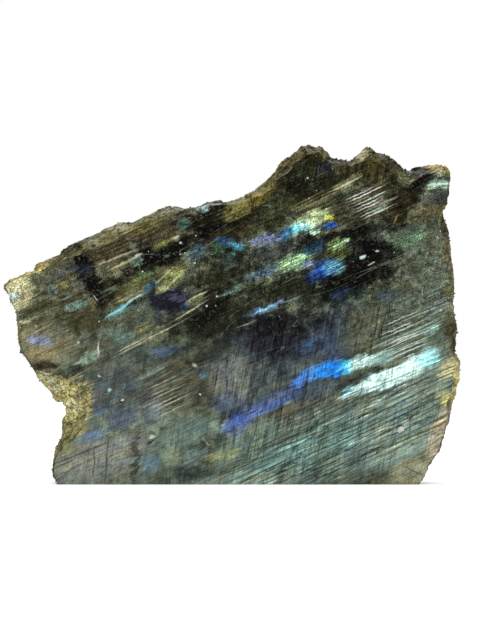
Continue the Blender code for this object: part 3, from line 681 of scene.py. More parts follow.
    ("notch gold upper", -81, 43.5, 8.2, 3.2, -38, "PALE_GOLD", 1, 0.3, 0.2),
    ("notch gold", -73.5, 37.5, 11, 9.2, 60, "GOLD_PALE", 0.85, 0.3, 0.2),
    ("notch gold lower", -74.5, 26, 5.9, 7.8, 70, "GOLD_DULL", 0.6, 0.2, 0.2),
    ("notch olive", -78, 16, 3.7, 7.3, 76, "OLIVE_LIGHT", 0.6, 0.2, 0.2),
    ("gold under the tip edge", -86.5, 101, 5.9, 2.7, 30, "PALE_GOLD", 1, 0.3, 0.2),
]
print("flashes:", len(FLASHES))

# %% [markdown]
# ## Dark marks
#
# Black minerals fill the old cracks as grains, and some parts of the feldspar throw no light back.
# Close up these look quite different, so the last number of a row is how grainy it is.

# %% Dark marks of the face
DARKS = [
    ("upright dark band", -65.5, 95.5, 16.9, 3.9, -71, "BLACK", 1, 0.7, 0.9),
    ("dark diagonal", -81, 82.5, 19.2, 1.9, 17, "DARK_OLIVE", 0.85, 0.5, 0),
    ("second dark diagonal", -92.5, 73.5, 8.2, 1.5, 14, "DARK_OLIVE", 0.8, 0.5, 0),
    ("lens under the left middle", -86.5, 55, 6.4, 2.3, 2, "DARK_BROWN", 0.85, 0.4, 0),
    ("brown black of the left", -58, 87.5, 5, 4.6, 60, "BLACK_BROWN", 0.8, 0.4, 0.5),
    ("dark diagonal to the ring", -28, 106.5, 33.9, 3.4, 28, "BLACK_BROWN", 0.9, 0.4, 1),
    ("black grains by the wedge", -39.5, 102.5, 4.6, 5.9, 60, "BLACK", 0.95, 0.5, 1),
    ("black grains left of the ring", -27.5, 106.5, 8.2, 4.1, 30, "BLACK", 0.95, 0.5, 1),
    ("brown black", -7, 122, 18.3, 6.4, 14, "BLACK_BROWN", 0.9, 0.4, 0.5),
    ("black by the upper edge", -9.5, 124.5, 8.2, 4.1, 6, "BLACK", 0.7, 0.3, 0.5),
    ("crumbs of the peak", 31.5, 146.5, 11.9, 5.5, 10, "BLACK_BROWN", 0.6, 0.2, 0.9),
    ("crumbs of the right peak", 63, 145, 12.4, 5.9, -6, "BLACK_BROWN", 0.35, 0.2, 0.9),
    ("crumbs of the slope", 13.5, 131, 10.1, 3.7, 38, "BLACK_BROWN", 0.05, 0.2, 0.8),
    ("dark under the peak", 30.5, 136.5, 5.9, 8.2, 74, "BLACK_BROWN", 0.9, 0.4, 0.6),
    ("dark right of the peak", 44.5, 137.5, 10.1, 4.6, 24, "EARTH_DARK", 0.6, 0.4, 0.5),
    ("dark right of the lines", 74.5, 134, 8.2, 3.7, 70, "EARTH_DARK", 0.8, 0.3, 0.5),
    ("black violet", -29.5, 84.5, 9.2, 4.1, 14, "BLACK_BROWN", 0.97, 0.8, 0.3),
    ("blue round the black", -29.5, 84.5, 11.9, 5.9, 12, "NAVY", 0.85, 0.2, 0.1),
    ("black with red specks", -9, 83, 6.9, 5.5, 40, "BLACK_BROWN", 1, 0.4, 0.8),
    ("black green speckle", -13, 75.5, 10.1, 3.2, 16, "MOSS_BLACK", 0.9, 0.4, 0.8),
    ("dark band in the middle", 1.5, 72.5, 22.9, 3.7, 10, "MOSS_BLACK", 0.6, 0.3, 0.5),
    ("brown by the middle", 0, 81, 5, 3.7, 80, "EARTH", 0.25, 0.2, 0.3),
    ("gaps above the streak", 4.5, 93, 3.2, 1.4, 10, "BLACK", 0.5, 0.3, 0.3),
    ("dark teal band", 46.5, 112.5, 21, 2.7, 10, "MOSS_BLACK", 0.95, 0.5, 0.4),
    ("black round the grains", 54.5, 100, 19.2, 12.4, 30, "MOSS_BLACK", 0.85, 0.2, 0.5),
    ("great black grains", 61, 102, 12.4, 15.1, 80, "BLACK", 1, 0.7, 0.9),
    ("black left of the grains", 57.5, 113.5, 7.3, 3.7, 14, "BLACK", 0.95, 0.5, 0.6),
    ("black below the grains", 53.5, 92.5, 14.6, 4.6, 12, "BLACK", 1, 0.4, 0.6),
    ("dark grey inside the grains", 63, 113, 5.9, 2.7, 12, "DARK_GREY", 0.85, 0.6, 0.2),
    ("dark above the corner", 84, 140, 6.9, 5.5, 30, "BLACK", 0.95, 0.6, 0.8),
    ("black slate grains", 24, 74.5, 17.4, 5.5, 10, "BLACK_SLATE", 0.7, 0.3, 0.7),
    ("dark notch foot", -85.5, 54, 7.8, 1.8, 8, "DARK_BROWN", 0.9, 0.5, 0.2),
    ("dark upright left", -44.5, 12, 12.4, 1.6, 88, "BLACK_GREY", 0.8, 0.4, 0.1),
    ("dark right edge", 100.5, 69, 10.1, 2.3, 84, "BROWN", 0.5, 0.5, 0.6),
    ("dark below the ring", 1.5, 97.5, 11.9, 2.7, 18, "MOSS_DARK", 0.6, 0.2, 0.4),
    ("dark round the ring", -5, 107.5, 10.5, 7.8, 20, "MOSS_BLACK", 0.8, 0.2, 0.3),
    ("dark slate upright", 46, 64, 11, 2.7, 84, "SLATE_DARK", 0.6, 0.2, 0),
    ("dark between the blues", 33.5, 104, 15.6, 5.5, 16, "MOSS_BLACK", 0.8, 0.2, 0.4),
    ("dark over the right grey", 76.5, 102, 4.6, 9.2, 84, "DARK_GREEN_GREY", 0.5, 0.2, 0.3),
    ("crumbs of the right rim", 97.5, 115.5, 5.9, 2.3, -70, "BLACK_GREY", 0.9, 0.4, 0.8),
    ("dark below the middle", -12.5, 61.5, 12.8, 7.3, 10, "MOSS_DARK", 0.55, 0.2, 0.3),
]
print("dark marks:", len(DARKS))

# %% [markdown]
# ## Cracks, dots and single sheets
#
# The smallest marks are hair cracks, white dots where the polish tore out a grain, painted glints on
# the black grains, a painted shade at the foot of a pit, and single sheets that shine. They go on last,
# over everything else, and they stay thin and whole.

# %% Details of the face
DETAILS = [
    ("edge of the polish left", -75.4, 104.5, 6.2, 0.41, 31, "GOLD_LINE", 0.8, 0.4),
    ("black arm", -44.7, 83.5, 7.3, 1.37, 22, "BLACK", 0.9, 0.4),
    ("black arm below", -26, 82.1, 6.4, 1.83, -14, "BLACK_SLATE", 0.95, 0.3),
    ("black horn", -37, 87.6, 3.2, 1.83, 70, "BLACK_SLATE", 0.85, 0.3),
    ("blue glow by the arm", -39.7, 89.4, 2.3, 0.92, 50, "BLUE_SOFT", 0.7, 0.2),
    ("light wisp of the streak", -51.1, 80.7, 6.4, 0.55, 34, "PALE_CYAN", 0.9, 0.3),
    ("light wisp below it", -54.8, 78.5, 4.1, 0.41, 30, "CYAN", 0.8, 0.3),
    ("light wisp above it", -44.7, 85.3, 4.1, 0.37, 30, "WHITE_CYAN", 0.75, 0.3),
    ("pale line of the patch", -27.8, 92.2, 5.5, 0.41, 44, "PALE_STRAW", 0.7, 0.3),
    ("pale line of the patch above", -31, 95.8, 5.5, 0.37, 44, "PALE_STRAW", 0.6, 0.3),
    ("edge of the polish middle", -62.6, 109.6, 7.8, 0.41, 12, "GOLD_LINE", 0.8, 0.4),
    ("edge of the polish right", -49.8, 115.1, 6.4, 0.41, 24, "GOLD_LINE", 0.75, 0.4),
    ("crack from the tip", -96.4, 88.1, 5.5, 0.32, -78, "DARK_BROWN", 0.7, 0.4),
    ("thin line over the diagonal", -76.3, 85.3, 3.7, 0.37, 22, "PALE_GREEN_GREY", 0.6, 0.3),
    ("light line of the wedge", -53.9, 103.6, 10.1, 0.5, 22, "PALE_STRAW", 0.5, 0.3),
    ("light line below it", -48.9, 101.8, 7.8, 0.46, 26, "PALE_STRAW", 0.55, 0.3),
    ("light end of the wedge line", -43.4, 105, 1.8, 0.59, 20, "PALE_LINE", 0.9, 0.3),
    ("white tip of the green band", -25.5, 113.2, 1.4, 0.55, 26, "PALE_LINE", 0.95, 0.2),
    ("white tip below it", -23.7, 110.7, 0.6, 0.55, 0, "PALE_LINE", 0.9, 0.2),
    ("white by the upper edge", -12.7, 127.4, 1.8, 0.92, 10, "WHITE_CYAN", 0.6, 0.2),
    ("crumbs by the upper edge", -6.8, 128.8, 4.1, 0.73, 8, "WHITE_CYAN", 0.6, 0.2),
    ("crumbs of the left edge", -48.9, 119.2, 4.1, 0.82, 14, "PALE_LINE", 0.7, 0.2),
    ("white dot of the grains", -17.3, 101.3, 0.5, 0.45, 0, "PALE_LINE", 0.95, 0.2),
    ("black heart of the ring", -2.2, 107.5, 2.1, 1.37, 20, "BLACK", 0.97, 0.5),
    ("green spot in the ring", -1.3, 110.5, 1.4, 0.82, 0, "GREEN_CYAN", 0.6, 0.3),
    ("black arm of the ring", 0.5, 98.6, 3.2, 0.92, 20, "BLACK", 0.85, 0.4),
    ("light line past the black", -16.4, 86.2, 5.5, 0.41, 26, "PALE_STRAW", 0.85, 0.4),
    ("white specks of the black", -7.2, 86.2, 0.4, 0.34, 0, "PALE_LINE", 0.9, 0.2),
    ("white speck below", -11.8, 81.7, 0.4, 0.41, 0, "WHITE_CYAN", 0.9, 0.2),
    ("pink speck", -7.7, 81.7, 0.4, 0.41, 0, "PALE_LINE", 0.8, 0.3),
    ("red glow in the black", -33.3, 83, 1.4, 1.1, 30, "RED_DARK", 0.45, 0.2),
    ("first line of the pair", -45.7, 64.3, 8.7, 0.41, 27, "PALE_STRAW", 0.65, 0.4),
    ("second line of the pair", -37.9, 67, 19.2, 0.37, 28, "PALE_STRAW", 0.6, 0.4),
    ("line on to the middle", -19.6, 79.4, 9.2, 0.37, 31, "PALE_STRAW", 0.7, 0.4),
    ("pale upright crack", -61.4, 61.5, 3.7, 0.41, 88, "PALE_LINE", 0.8, 0.4),
    ("white dots of the crack", -62.6, 85.3, 1.8, 0.32, -55, "PALE_LINE", 0.6, 0.2),
    ("dots under them", -61.2, 74.8, 0.4, 0.38, 0, "PALE_LINE", 0.9, 0.2),
    ("dot at the left", -70.6, 65.2, 0.6, 0.38, 30, "PALE_LINE", 0.8, 0.2),
    ("black arm left", -63.5, 67, 2.3, 2.29, 60, "BLACK", 0.75, 0.3),
    ("black dot left", -70.4, 68.9, 1.1, 1.19, 0, "BLACK", 0.8, 0.3),
    ("brown crack left", -78.1, 63.8, 8.7, 0.37, 26, "DARK_BROWN", 0.6, 0.4),
    ("white dot left", -90, 72.5, 0.4, 0.34, 0, "PALE_LINE", 0.9, 0.2),
    ("light spot", -61, 49.6, 0.5, 0.87, 70, "PALE_LINE", 0.85, 0.2),
    ("blue spot", -56.2, 43.2, 0.9, 0.87, 0, "PALE_CYAN", 0.95, 0.3),
    ("white dot low", -50.7, 38.7, 0.6, 0.58, 0, "WHITE_CYAN", 1, 0.4),
    # A painted shade under the pit by the left.
    ("painted shade under the pit", -37.7, 19.4, 2.1, 0.82, 35, "BLACK", 0.8, 0.4),
    ("white crack of the right rim", 95.3, 122.4, 1.6, 0.41, -68, "PALE_LINE", 0.9, 0.3),
    ("white crack below it", 96.2, 119.9, 1.2, 0.37, -60, "PALE_LINE", 0.7, 0.3),
    ("white crumbs of the right rim", 95.3, 116.9, 1.6, 0.41, 86, "PALE_LINE", 0.6, 0.3),
    ("white dot of the right rim", 98.9, 116, 0.5, 0.41, 0, "PALE_LINE", 0.8, 0.3),
    ("white dot left of the rim", 93.6, 113.2, 0.4, 0.59, 0, "PALE_LINE", 0.85, 0.3),
    ("white dot on the speckle", 95, 79.8, 0.7, 0.41, 20, "PALE_LINE", 0.9, 0.3),
    ("pale chip", -36.5, 24.7, 3, 2.75, 40, "PALE_GREEN_GREY", 0.7, 0.1),
    ("small crack by the pit", -31.9, 25.8, 1.8, 0.5, 20, "BLACK", 0.85, 0.5),
    ("pale crack right", -12.3, 19.9, 2.7, 0.27, -50, "PALE_LINE", 0.45, 0.3),
    ("light dot of the middle", -15, 41.4, 0.4, 0.62, 50, "WHITE_CYAN", 0.95, 0.3),
    ("white streak of the middle", -17.3, 54.7, 0.7, 1.37, 60, "PALE_LINE", 0.6, 0.3),
    ("brown line of the notch", -80, 53.3, 6.9, 0.41, 36, "STRAW_GREY", 0.45, 0.2),
    ("light line of the notch", -74.5, 48.3, 12.4, 0.37, 30, "PALE_STRAW_SOFT", 0.4, 0.2),
    ("dark line of the notch", -76.3, 49.6, 12.8, 0.41, 30, "DARK_BROWN", 0.6, 0.4),
    ("slant crack in the tan", -63.5, 82.6, 4.6, 0.37, -60, "DARK_BROWN", 0.5, 0.3),
    # The next four white dots are painted glints on the black grains.
    ("painted glint in the grains first", 59.6, 104.1, 1.5, 0.78, 24, "WHITE_CYAN", 0.9, 0.2),
    ("painted glint in the grains second", 66, 106.8, 0.9, 0.55, 0, "PALE_LINE", 0.8, 0.2),
    ("painted glint in the grains third", 63.2, 100.9, 1.8, 0.41, 30, "PALE_LINE", 0.6, 0.2),
    ("painted glint in the grains fourth", 52.7, 111.4, 0.6, 0.59, 0, "PALE_LINE", 0.9, 0.2),
    ("dot under the peak", 33.9, 140.2, 0.5, 0.48, 0, "PALE_LINE", 0.95, 0.3),
    ("dot in the olive", 34.9, 131.1, 0.4, 0.41, 0, "PALE_LINE", 0.85, 0.3),
    ("white crumb of the corner", 82.4, 143, 2.3, 0.73, 10, "WHITE_CYAN", 0.7, 0.2),
    ("red crumbs of the corner", 67.8, 137.5, 2.3, 0.64, 10, "RUST", 0.5, 0.2),
    ("comb line first", 52.7, 137.9, 6.6, 0.55, 27, "PALE_STRAW", 1, 0.3),
    ("comb line above it", 50.4, 138.4, 5.9, 0.32, 27, "STRAW_GREY", 0.8, 0.3),
    ("left comb line first", 33.5, 130.2, 10.1, 0.32, 27, "OLIVE_LIGHT", 0.6, 0.3),
    ("left comb line second", 36.7, 128.6, 11, 0.27, 27, "STONE_LIGHT", 0.6, 0.3),
    ("left comb line third", 40.4, 127, 9.2, 0.27, 27, "OLIVE_LIGHT", 0.55, 0.3),
    ("gold of the olive band", 74.7, 121.5, 2.7, 0.41, 66, "GOLD_DULL", 0.5, 0.3),
    ("white edge lower", 94.3, 137.5, 5.5, 0.59, 4, "WHITE_CYAN", 0.95, 0.4),
    ("lines over the slate first", 26.2, 84.4, 5.5, 0.37, 20, "SLATE_LIGHT", 0.8, 0.3),
    ("lines over the slate second", 6, 73.4, 5, 0.37, 22, "MIST_LIGHT", 0.8, 0.3),
    ("line over the brown", 12, 92.6, 2.3, 0.37, 22, "MIST_LIGHT", 0.8, 0.3),
    ("dark upright over the blue", 7.6, 102.3, 6.9, 0.41, 88, "BLACK", 0.6, 0.3),
    ("dark upright by it", 12.9, 98.1, 3.2, 0.41, 88, "BLACK", 0.6, 0.3),
    ("crack in the great band", 72.8, 51.5, 5.5, 0.37, 84, "DARK_SLATE", 0.6, 0.3),
    ("crack in the band right", 82, 48.7, 6.4, 0.41, 80, "DARK_SLATE", 0.55, 0.3),
    ("crack in the band left", 59.1, 44.1, 3.2, 0.37, 84, "DARK_SLATE", 0.6, 0.3),
    ("line in the great band", 74.7, 48.7, 16.5, 0.37, 22, "SLATE_DARK", 0.65, 0.3),
    ("line below the band", 75.6, 45.1, 18.3, 0.41, 22, "SLATE_DARK", 0.6, 0.3),
    ("crack in the azure", 40.8, 52.8, 4.1, 0.37, 84, "NAVY", 0.6, 0.3),
    ("crack in the azure left", 34.4, 51, 3.7, 0.37, 84, "NAVY", 0.6, 0.3),
    ("upright of the low grey", -63.5, 9.8, 7.8, 0.46, 87, "DARK_GREY", 0.9, 0.4),
    ("upright right of it", -57.6, 12.6, 11.9, 0.55, 86, "DARK_GREY", 0.9, 0.4),
    ("slope crack of the low grey", -68.1, 14.9, 15.6, 0.59, 22, "DARK_GREY_BROWN", 0.9, 0.3),
    ("second slope crack", -76.3, 9.8, 6.9, 0.41, 26, "DARK_GREY_BROWN", 0.9, 0.3),
    ("crack of the tan corner", 82.9, 6.2, 5.5, 0.37, -26, "DARK_GREY_BROWN", 0.8, 0.4),
    ("crack of the tan edge", 92.5, 36.4, 3.7, 0.37, -34, "DARK_GREY_BROWN", 0.7, 0.3),
]
print("details:", len(DETAILS))

# %% [markdown]
# ## Combs
#
# Where many thin sheets shine side by side, a comb gives its first tooth, the step from one tooth to
# the next and their number. A loop adds the teeth to the details, each a little longer or shorter and
# further along than the last, because no two sheets end in the same place.

# %% Combs of thin lines
COMBS = [
    ("fan", 58.5, 133.4, 0.98, -1.09, 9, 7.2, 0.27, 24.5, ("PALE_LINE", "WHITE", "TAN", "FROST"), 1.0),
    ("shimmer", 77.4, 76.2, 0.1, -1.78, 10, 9.5, 0.27, 23, ("FROST", "MIST_LIGHT", "WHITE"), 0.85),
    ("lines", -31.9, 46.9, 0.16, -1.78, 9, 7.5, 0.3, 25, ("PALE_LINE", "STONE_LIGHT", "PALE_STRAW"), 0.55),
]
TOOTH_TURN = 2.4  # radians from tooth to tooth of the wave that makes them uneven
TOOTH_SHIFT = (0.3, 0.14)  # how far the wave moves a tooth, in its half lengths
TOOTH_GROWTH = 0.25  # how much longer or shorter it makes one, as a share
TOOTH_CRISP = 0.3

for name, x, z, step_x, step_z, teeth, long, wide, climb, colours, strength in COMBS:
    for tooth in range(teeth):
        uneven = math.sin(tooth * TOOTH_TURN)
        shift_x, shift_z = (long * share * uneven for share in TOOTH_SHIFT)
        middle = (x + step_x * tooth + shift_x, z + step_z * tooth + shift_z)
        shape = (long * (1 + TOOTH_GROWTH * uneven), wide, climb)
        colour = colours[tooth % len(colours)]
        DETAILS.append((name, *middle, *shape, colour, strength, TOOTH_CRISP))
print("details with the combs:", len(DETAILS))

# %% [markdown]
# ## Places in the finish
#
# Every pattern reads the same place: the object's own coordinates, in mm, turned so that the first
# coordinate runs along the sheets and the third across them. Two soft clouds bend it a little, so that
# no mark has a ruled edge, and each sheet is slid along by its own amount, so that marks end in combs.
# Thin cracks and dots would be torn apart by that, so they have a place that is bent only a little.

# %% Reading a place
LEAN = math.radians(10)  # how the upright cleavage leans
SLIDE = 2.4  # mm: half of how far a sheet may shift the end of a mark
SLIDES = 0.9  # how fast the slide changes across the sheets
# Waves that bend a place: the span of each, and its reach along and across, in mm.
SHEET_BEND = ((55.0, 2.2, 1.6),)
RAGGED_BENDS = ((9.0, 3.0, 2.0), (2.2, 1.5, 1.0))
UPRIGHT_BEND = ((14.0, 0.7, 0.0),)
WOBBLE = ((1.6, 0.5, 0.5),)
DETAIL_BENDS = ((6.0, 0.5, 0.3), (2.0, 0.4, 0.3), (0.8, 0.3, 0.25))


class Place:
    """A place in the stone as fields: straight, and in the bent sheets."""

    def __init__(self, finish):
        metres = finish.node("ShaderNodeTexCoord", {}, {}, "Object")
        self.straight = finish.times(metres, (1 / MM, 1 / MM, 1 / MM))
        turned = finish.turned(self.straight, SLOPE)
        self.sheets = finish.bent(turned, SHEET_BEND)
        ragged = finish.bent(self.sheets, RAGGED_BENDS)
        self.across = finish.part(self.sheets, "Z")
        self.depth = finish.part(self.straight, "Y") - FACE_Y
        self.height = finish.part(self.straight, "Z")
        self.uprights = finish.bent(finish.turned(self.straight, -LEAN), UPRIGHT_BEND)
        self.wobbly = finish.bent(self.straight, WOBBLE)
        slide = finish.node(
            "ShaderNodeTexNoise", {"noise_dimensions": "1D"}, {"W": self.across, "Scale": SLIDES}
        )
        ragged_x, ragged_z = finish.part(ragged, "X"), finish.part(ragged, "Z")
        self.face = finish.flat(ragged_x + (slide - 0.5) * (2 * SLIDE), ragged_z)
        plain = finish.bent(turned, DETAIL_BENDS)
        self.plain = finish.flat(finish.part(plain, "X"), finish.part(plain, "Z"))

# %% [markdown]
# ## Laying marks over each other
#
# A mark is an ellipse in the bent sheets. Its distance is 1 on the rim, so a smooth rise from the rim
# inwards gives a soft or a crisp edge. Marks are laid like paint, the large ones first.

# %% Marks
SOFT_RIM, CRISP_RIM = 1.35, 1.1  # where a mark starts, as a share of its ellipse, for soft and crisp ones
MARK_INPUTS = (
    ("Place", "Vector"), ("Lengthwise", "Vector"), ("Crosswise", "Vector"), ("Under", "Color"),
    ("Over", "Color"), ("Outer", "Float"), ("Inner", "Float"), ("Strength", "Float"), ("Gaps", "Float"),
    ("Broken", "Float"), ("Crumbs", "Float"), ("Crumbled", "Float"), ("Unrest", "Float"),
)


def mark_group():
    """One mark as a node group: it lays a colour on another, and also gives its cover alone."""
    tree = group_tree("mark", "ShaderNodeTree", MARK_INPUTS, (("Colour", "Color"), ("Cover", "Float")))
    given = tree.given()
    length = tree.dot(given["Place"], given["Lengthwise"])
    width = tree.dot(given["Place"], given["Crosswise"])
    away = length * length + width * width + given["Unrest"]
    cover = tree.rise(away, given["Outer"], given["Inner"]) * given["Strength"]
    cover = cover - cover * given["Gaps"] * given["Broken"]
    cover = cover - cover * given["Crumbs"] * given["Crumbled"]
    tree.give({"Colour": tree.blend(cover, given["Under"], given["Over"]), "Cover": cover})
    return tree.tree


MARK = mark_group()
print("a mark takes", len(MARK.nodes), "nodes")


def mark_sockets(where, x, z, long, wide, climb, crisp):
    """The sockets of a mark: its ellipse as two directions, 1 long on the rim, and its soft edge."""
    along, across = along_and_across(x, z)
    turn = math.radians(climb) - SLOPE
    run, lift = math.cos(turn), math.sin(turn)
    return {
        "Place": where,
        "Lengthwise": (run / long, lift / long, -(along * run + across * lift) / long),
        "Crosswise": (-lift / wide, run / wide, (along * lift - across * run) / wide),
        "Outer": (SOFT_RIM - (SOFT_RIM - CRISP_RIM) * crisp) ** 2,
        "Inner": crisp ** 2,
    }


def lay(finish, colour, where, rows, gaps=None, crumbs=None, crumbling=0.0, unrest=None):
    """Lays rows of marks over a colour. Gaps break a mark into lines as far as its last number says,
    crumbs wear away the rest of it, and unrest makes its outline ragged."""
    for _, x, z, long, wide, climb, name, strength, crisp, *last in rows:
        sockets = mark_sockets(where, x, z, long, wide, climb, crisp)
        sockets.update({"Under": colour, "Over": PALETTE[name], "Strength": strength})
        whole = 1.0
        if gaps:
            sockets.update({"Gaps": gaps, "Broken": last[0]})
            whole = 1 - last[0]
        if crumbs:
            sockets.update({"Crumbs": crumbs, "Crumbled": crumbling * whole})
        if unrest:
            sockets["Unrest"] = unrest
        colour = finish.node("ShaderNodeGroup", {"node_tree": MARK}, sockets, "Colour")
    return colour


def highest(finish, weight, where, x, z, long, wide, climb, crisp, strength):
    """The larger of a weight and an ellipse's cover."""
    sockets = mark_sockets(where, x, z, long, wide, climb, crisp)
    sockets["Strength"] = strength
    cover = finish.node("ShaderNodeGroup", {"node_tree": MARK}, sockets, "Cover")
    return cover.maths("MAXIMUM", cover, weight)


ZONE_CRISP = 0.3
FEWEST_GRAINS = 0.03
GRAIN_REACH = (1.1, 1.15)  # how far grains go past a dark mark along and across it, as shares of it
GRAIN_CRISP = 0.6  # how crisp their edge is, as a share of the mark's


def zone(finish, place, rows, everywhere):
    """A weight that is everywhere at least one value and rises inside each row's ellipse."""
    weight = everywhere
    for x, z, long, wide, climb, strength in rows:
        weight = highest(finish, weight, place.face, x, z, long, wide, climb, ZONE_CRISP, strength)
    return weight


def grains_zone(finish, place):
    """Where the black grains lie: round each dark mark, as far as its last number says."""
    weight = FEWEST_GRAINS
    for _, x, z, long, wide, climb, _, strength, crisp, grainy in DARKS:
        if grainy:
            shape = (long * GRAIN_REACH[0], wide * GRAIN_REACH[1], climb, crisp * GRAIN_CRISP)
            weight = highest(finish, weight, place.face, x, z, *shape, strength * grainy)
    return weight


# %% [markdown]
# ## Lines, uprights and grains
#
# Three patterns cross the colours. Thin dark lines part the sheets. Fainter upright lines are the
# second cleavage, seen edge on. Black grains of other minerals fill the old cracks, with a few painted
# glints among them, where flat grains would catch the light. The lines are strong in some parts of the
# face and hardly there in others, so two lists of ellipses (x, z, half length, half width, climb,
# strength) say where.

# %% Where the lines are strong
STRIPED = [
    (50, 19.5, 60, 18, 21, 1.0), (76.5, 39.5, 28, 8, 22, 1.0), (32, 33, 20, 6, 20, 0.6),
    (79, 71, 21, 11, 24, 0.6), (-26, 44, 19, 12, 24, 0.5), (-45, 111, 30, 9, 24, 0.7),
    (20, 37, 12, 4, 24, 0.8), (98, 51, 8, 10, 60, 0.9), (38, 108, 18, 13, 24, 0.8),
    (6, 122, 20, 8, 18, 0.5), (62, 140, 16, 9, 26, 0.5), (22, 88, 26, 9, 18, 0.5),
    (-86, 80, 20, 18, 20, 0.35), (96, 20, 16, 7, 76, 0.4), (62, 128, 16, 5, 27, 0.6),
]
UPRIGHT = [
    (0, 49, 16, 12, 80, 0.75), (38, 109, 18, 14, 20, 0.9), (30, 146, 24, 10, 10, 1.0),
    (62, 146, 18, 9, -10, 1.0), (5, 129, 20, 7, 38, 0.9), (45, 53, 12, 6, 20, 0.7),
    (18, 68, 21, 13, 10, 0.9), (45, 69, 14, 12, 80, 0.8), (64, 70, 18, 12, 18, 0.8),
    (86, 102, 15, 20, 90, 0.4), (25, 90, 22, 7, 14, 0.7), (-5, 90, 26, 22, 16, 0.6),
    (50, 19.5, 60, 18, 21, 0.45), (-63, 10, 20, 11, 6, 0.3), (15, 105, 16, 6, 14, 0.6),
    (68, 48, 30, 8, 20, 0.5), (20, 34, 36, 32, 20, 0.7),
]
print("zones of lines:", len(STRIPED), "along the sheets,", len(UPRIGHT), "upright")

# %% Patterns of the stone
SHEET_SPACING = 2.05  # mm
SPARK_SPACING = 2.4  # mm: one in five cells of this size holds a painted glint
# the colour of the painted glints
SPARK = (240, 240, 228)


def ridges(finish, field, width):
    """Thin lines, where a noise passes its middle value."""
    return finish.rise(field, 0.5 - width, 0.5) * finish.rise(field, 0.5 + width, 0.5)


class Patterns:
    """The fields that the finishes share. Unrest and combing make the outlines of marks ragged."""

    def __init__(self, finish, place):
        comb = finish.cloud(place.sheets, (26, 30, 0.75), 2.0, 0.5)
        self.gaps = 1 - finish.rise(comb, 0.52, 0.59)
        self.streaks = finish.cloud(place.sheets, (14, 20, 1.1), 4.0, 0.65)
        self.fibres = finish.cloud(place.sheets, (8, 10, 0.5), 3.0, 0.6)
        self.seams = ridges(finish, finish.cloud(place.sheets, (22, 30, 3.2), 3.0, 0.55), 0.03)
        drift = finish.cloud(place.sheets, (45, 60, 7), 1.0)
        uneven = finish.cloud(place.sheets, (20, 30, 0.9), 2.0)
        turns = (place.across / SHEET_SPACING + drift * 2.0 + uneven * 0.7) * math.tau
        wave = finish.node("ShaderNodeMath", {"operation": "SINE"}, {"Value": turns})
        self.dark_lines = finish.rise(wave + finish.cloud(place.sheets, (9, 20, 1.2), 2.0) * 1.2, 0.75, 1.6)
        self.uprights = finish.cloud(place.uprights, (0.8, 30, 17), 3.0, 0.55)
        self.splits = ridges(finish, finish.cloud(place.uprights, (3.4, 30, 22), 3.0, 0.55), 0.04)
        self.hairs = ridges(finish, finish.cloud(place.sheets, (46, 40, 5.5), 0.0), 0.012)
        self.mottle = finish.cloud(place.wobbly, (6.5, 6.5, 6.5), 6.0, 0.68)
        self.patches = finish.cloud(place.wobbly, (2.3, 2.3, 1.6), 4.0, 0.62)
        self.dust = finish.cloud(place.straight, (0.6, 0.6, 0.6), 2.0, 0.6)
        self.cells = finish.cells(place.wobbly, 0.85)
        spread = {"Vector": place.straight, "Scale": 1 / SPARK_SPACING}
        near = finish.node("ShaderNodeTexVoronoi", {}, spread, "Distance")
        chosen = finish.rise(finish.cells(place.straight, SPARK_SPACING), 0.78, 0.8)
        self.sparks = finish.rise(near, 0.13, 0.05) * chosen
        self.unrest = (self.mottle - 0.5) * 3.2 + (self.patches - 0.5) * 2.0
        self.combing = (self.streaks - 0.5) * 4.0 + (self.patches - 0.5) * 1.0


def add_grains(finish, colour, patterns, weight):
    """Black grains in a colour, with brown and grey ones among them, and painted white glints on them."""
    grain = finish.blend(finish.rise(patterns.cells, 0.35, 0.6), PALETTE["BLACK"], PALETTE["BLACK_BROWN"])
    grain = finish.blend(finish.rise(patterns.cells, 0.78, 0.84), grain, PALETTE["MOSS"])
    grain = finish.blend(finish.rise(patterns.cells, 0.93, 0.95), grain, PALETTE["GREY"])
    grained = finish.blend(weight * finish.rise(patterns.mottle, 0.62, 0.42), colour, grain)
    # painted glints: white dots that stand for light caught by the grains
    return finish.blend(patterns.sparks * weight, grained, linear(SPARK))


# %% [markdown]
# ## The polished face
#
# The face is the stone's own colour under a clear, flat polish. A real flash is light from inside, at
# one angle; here it is drawn as a colour of the face, so that it stays where it is from every side.
# The layers go on in the order of depth: ground, dark marks, grains, flashes. Then the dark lines, the
# cracks and a fine grit multiply all of them, and the details are laid on top.

# %% Polished finish
def swing(field, reach):
    """A factor near 1 from noise near 0.5."""
    return 1 + (field - 0.5) * reach


CONTRAST = 1.2  # the power that the colours are raised to
CONTRAST_GAIN = 1.85  # brings the middle tones back
POLISH = 0.07  # roughness of the polish, and how much rougher it is over grains
GRAIN_ROUGHNESS = 0.16
BUSY_HEIGHTS = (55.0, 95.0)  # mm: the stone's colour is more broken up above than below
WARM, COOL = (1.05, 0.99, 0.91, 1.0), (0.95, 1.0, 1.06, 1.0)  # stains that drift over the face


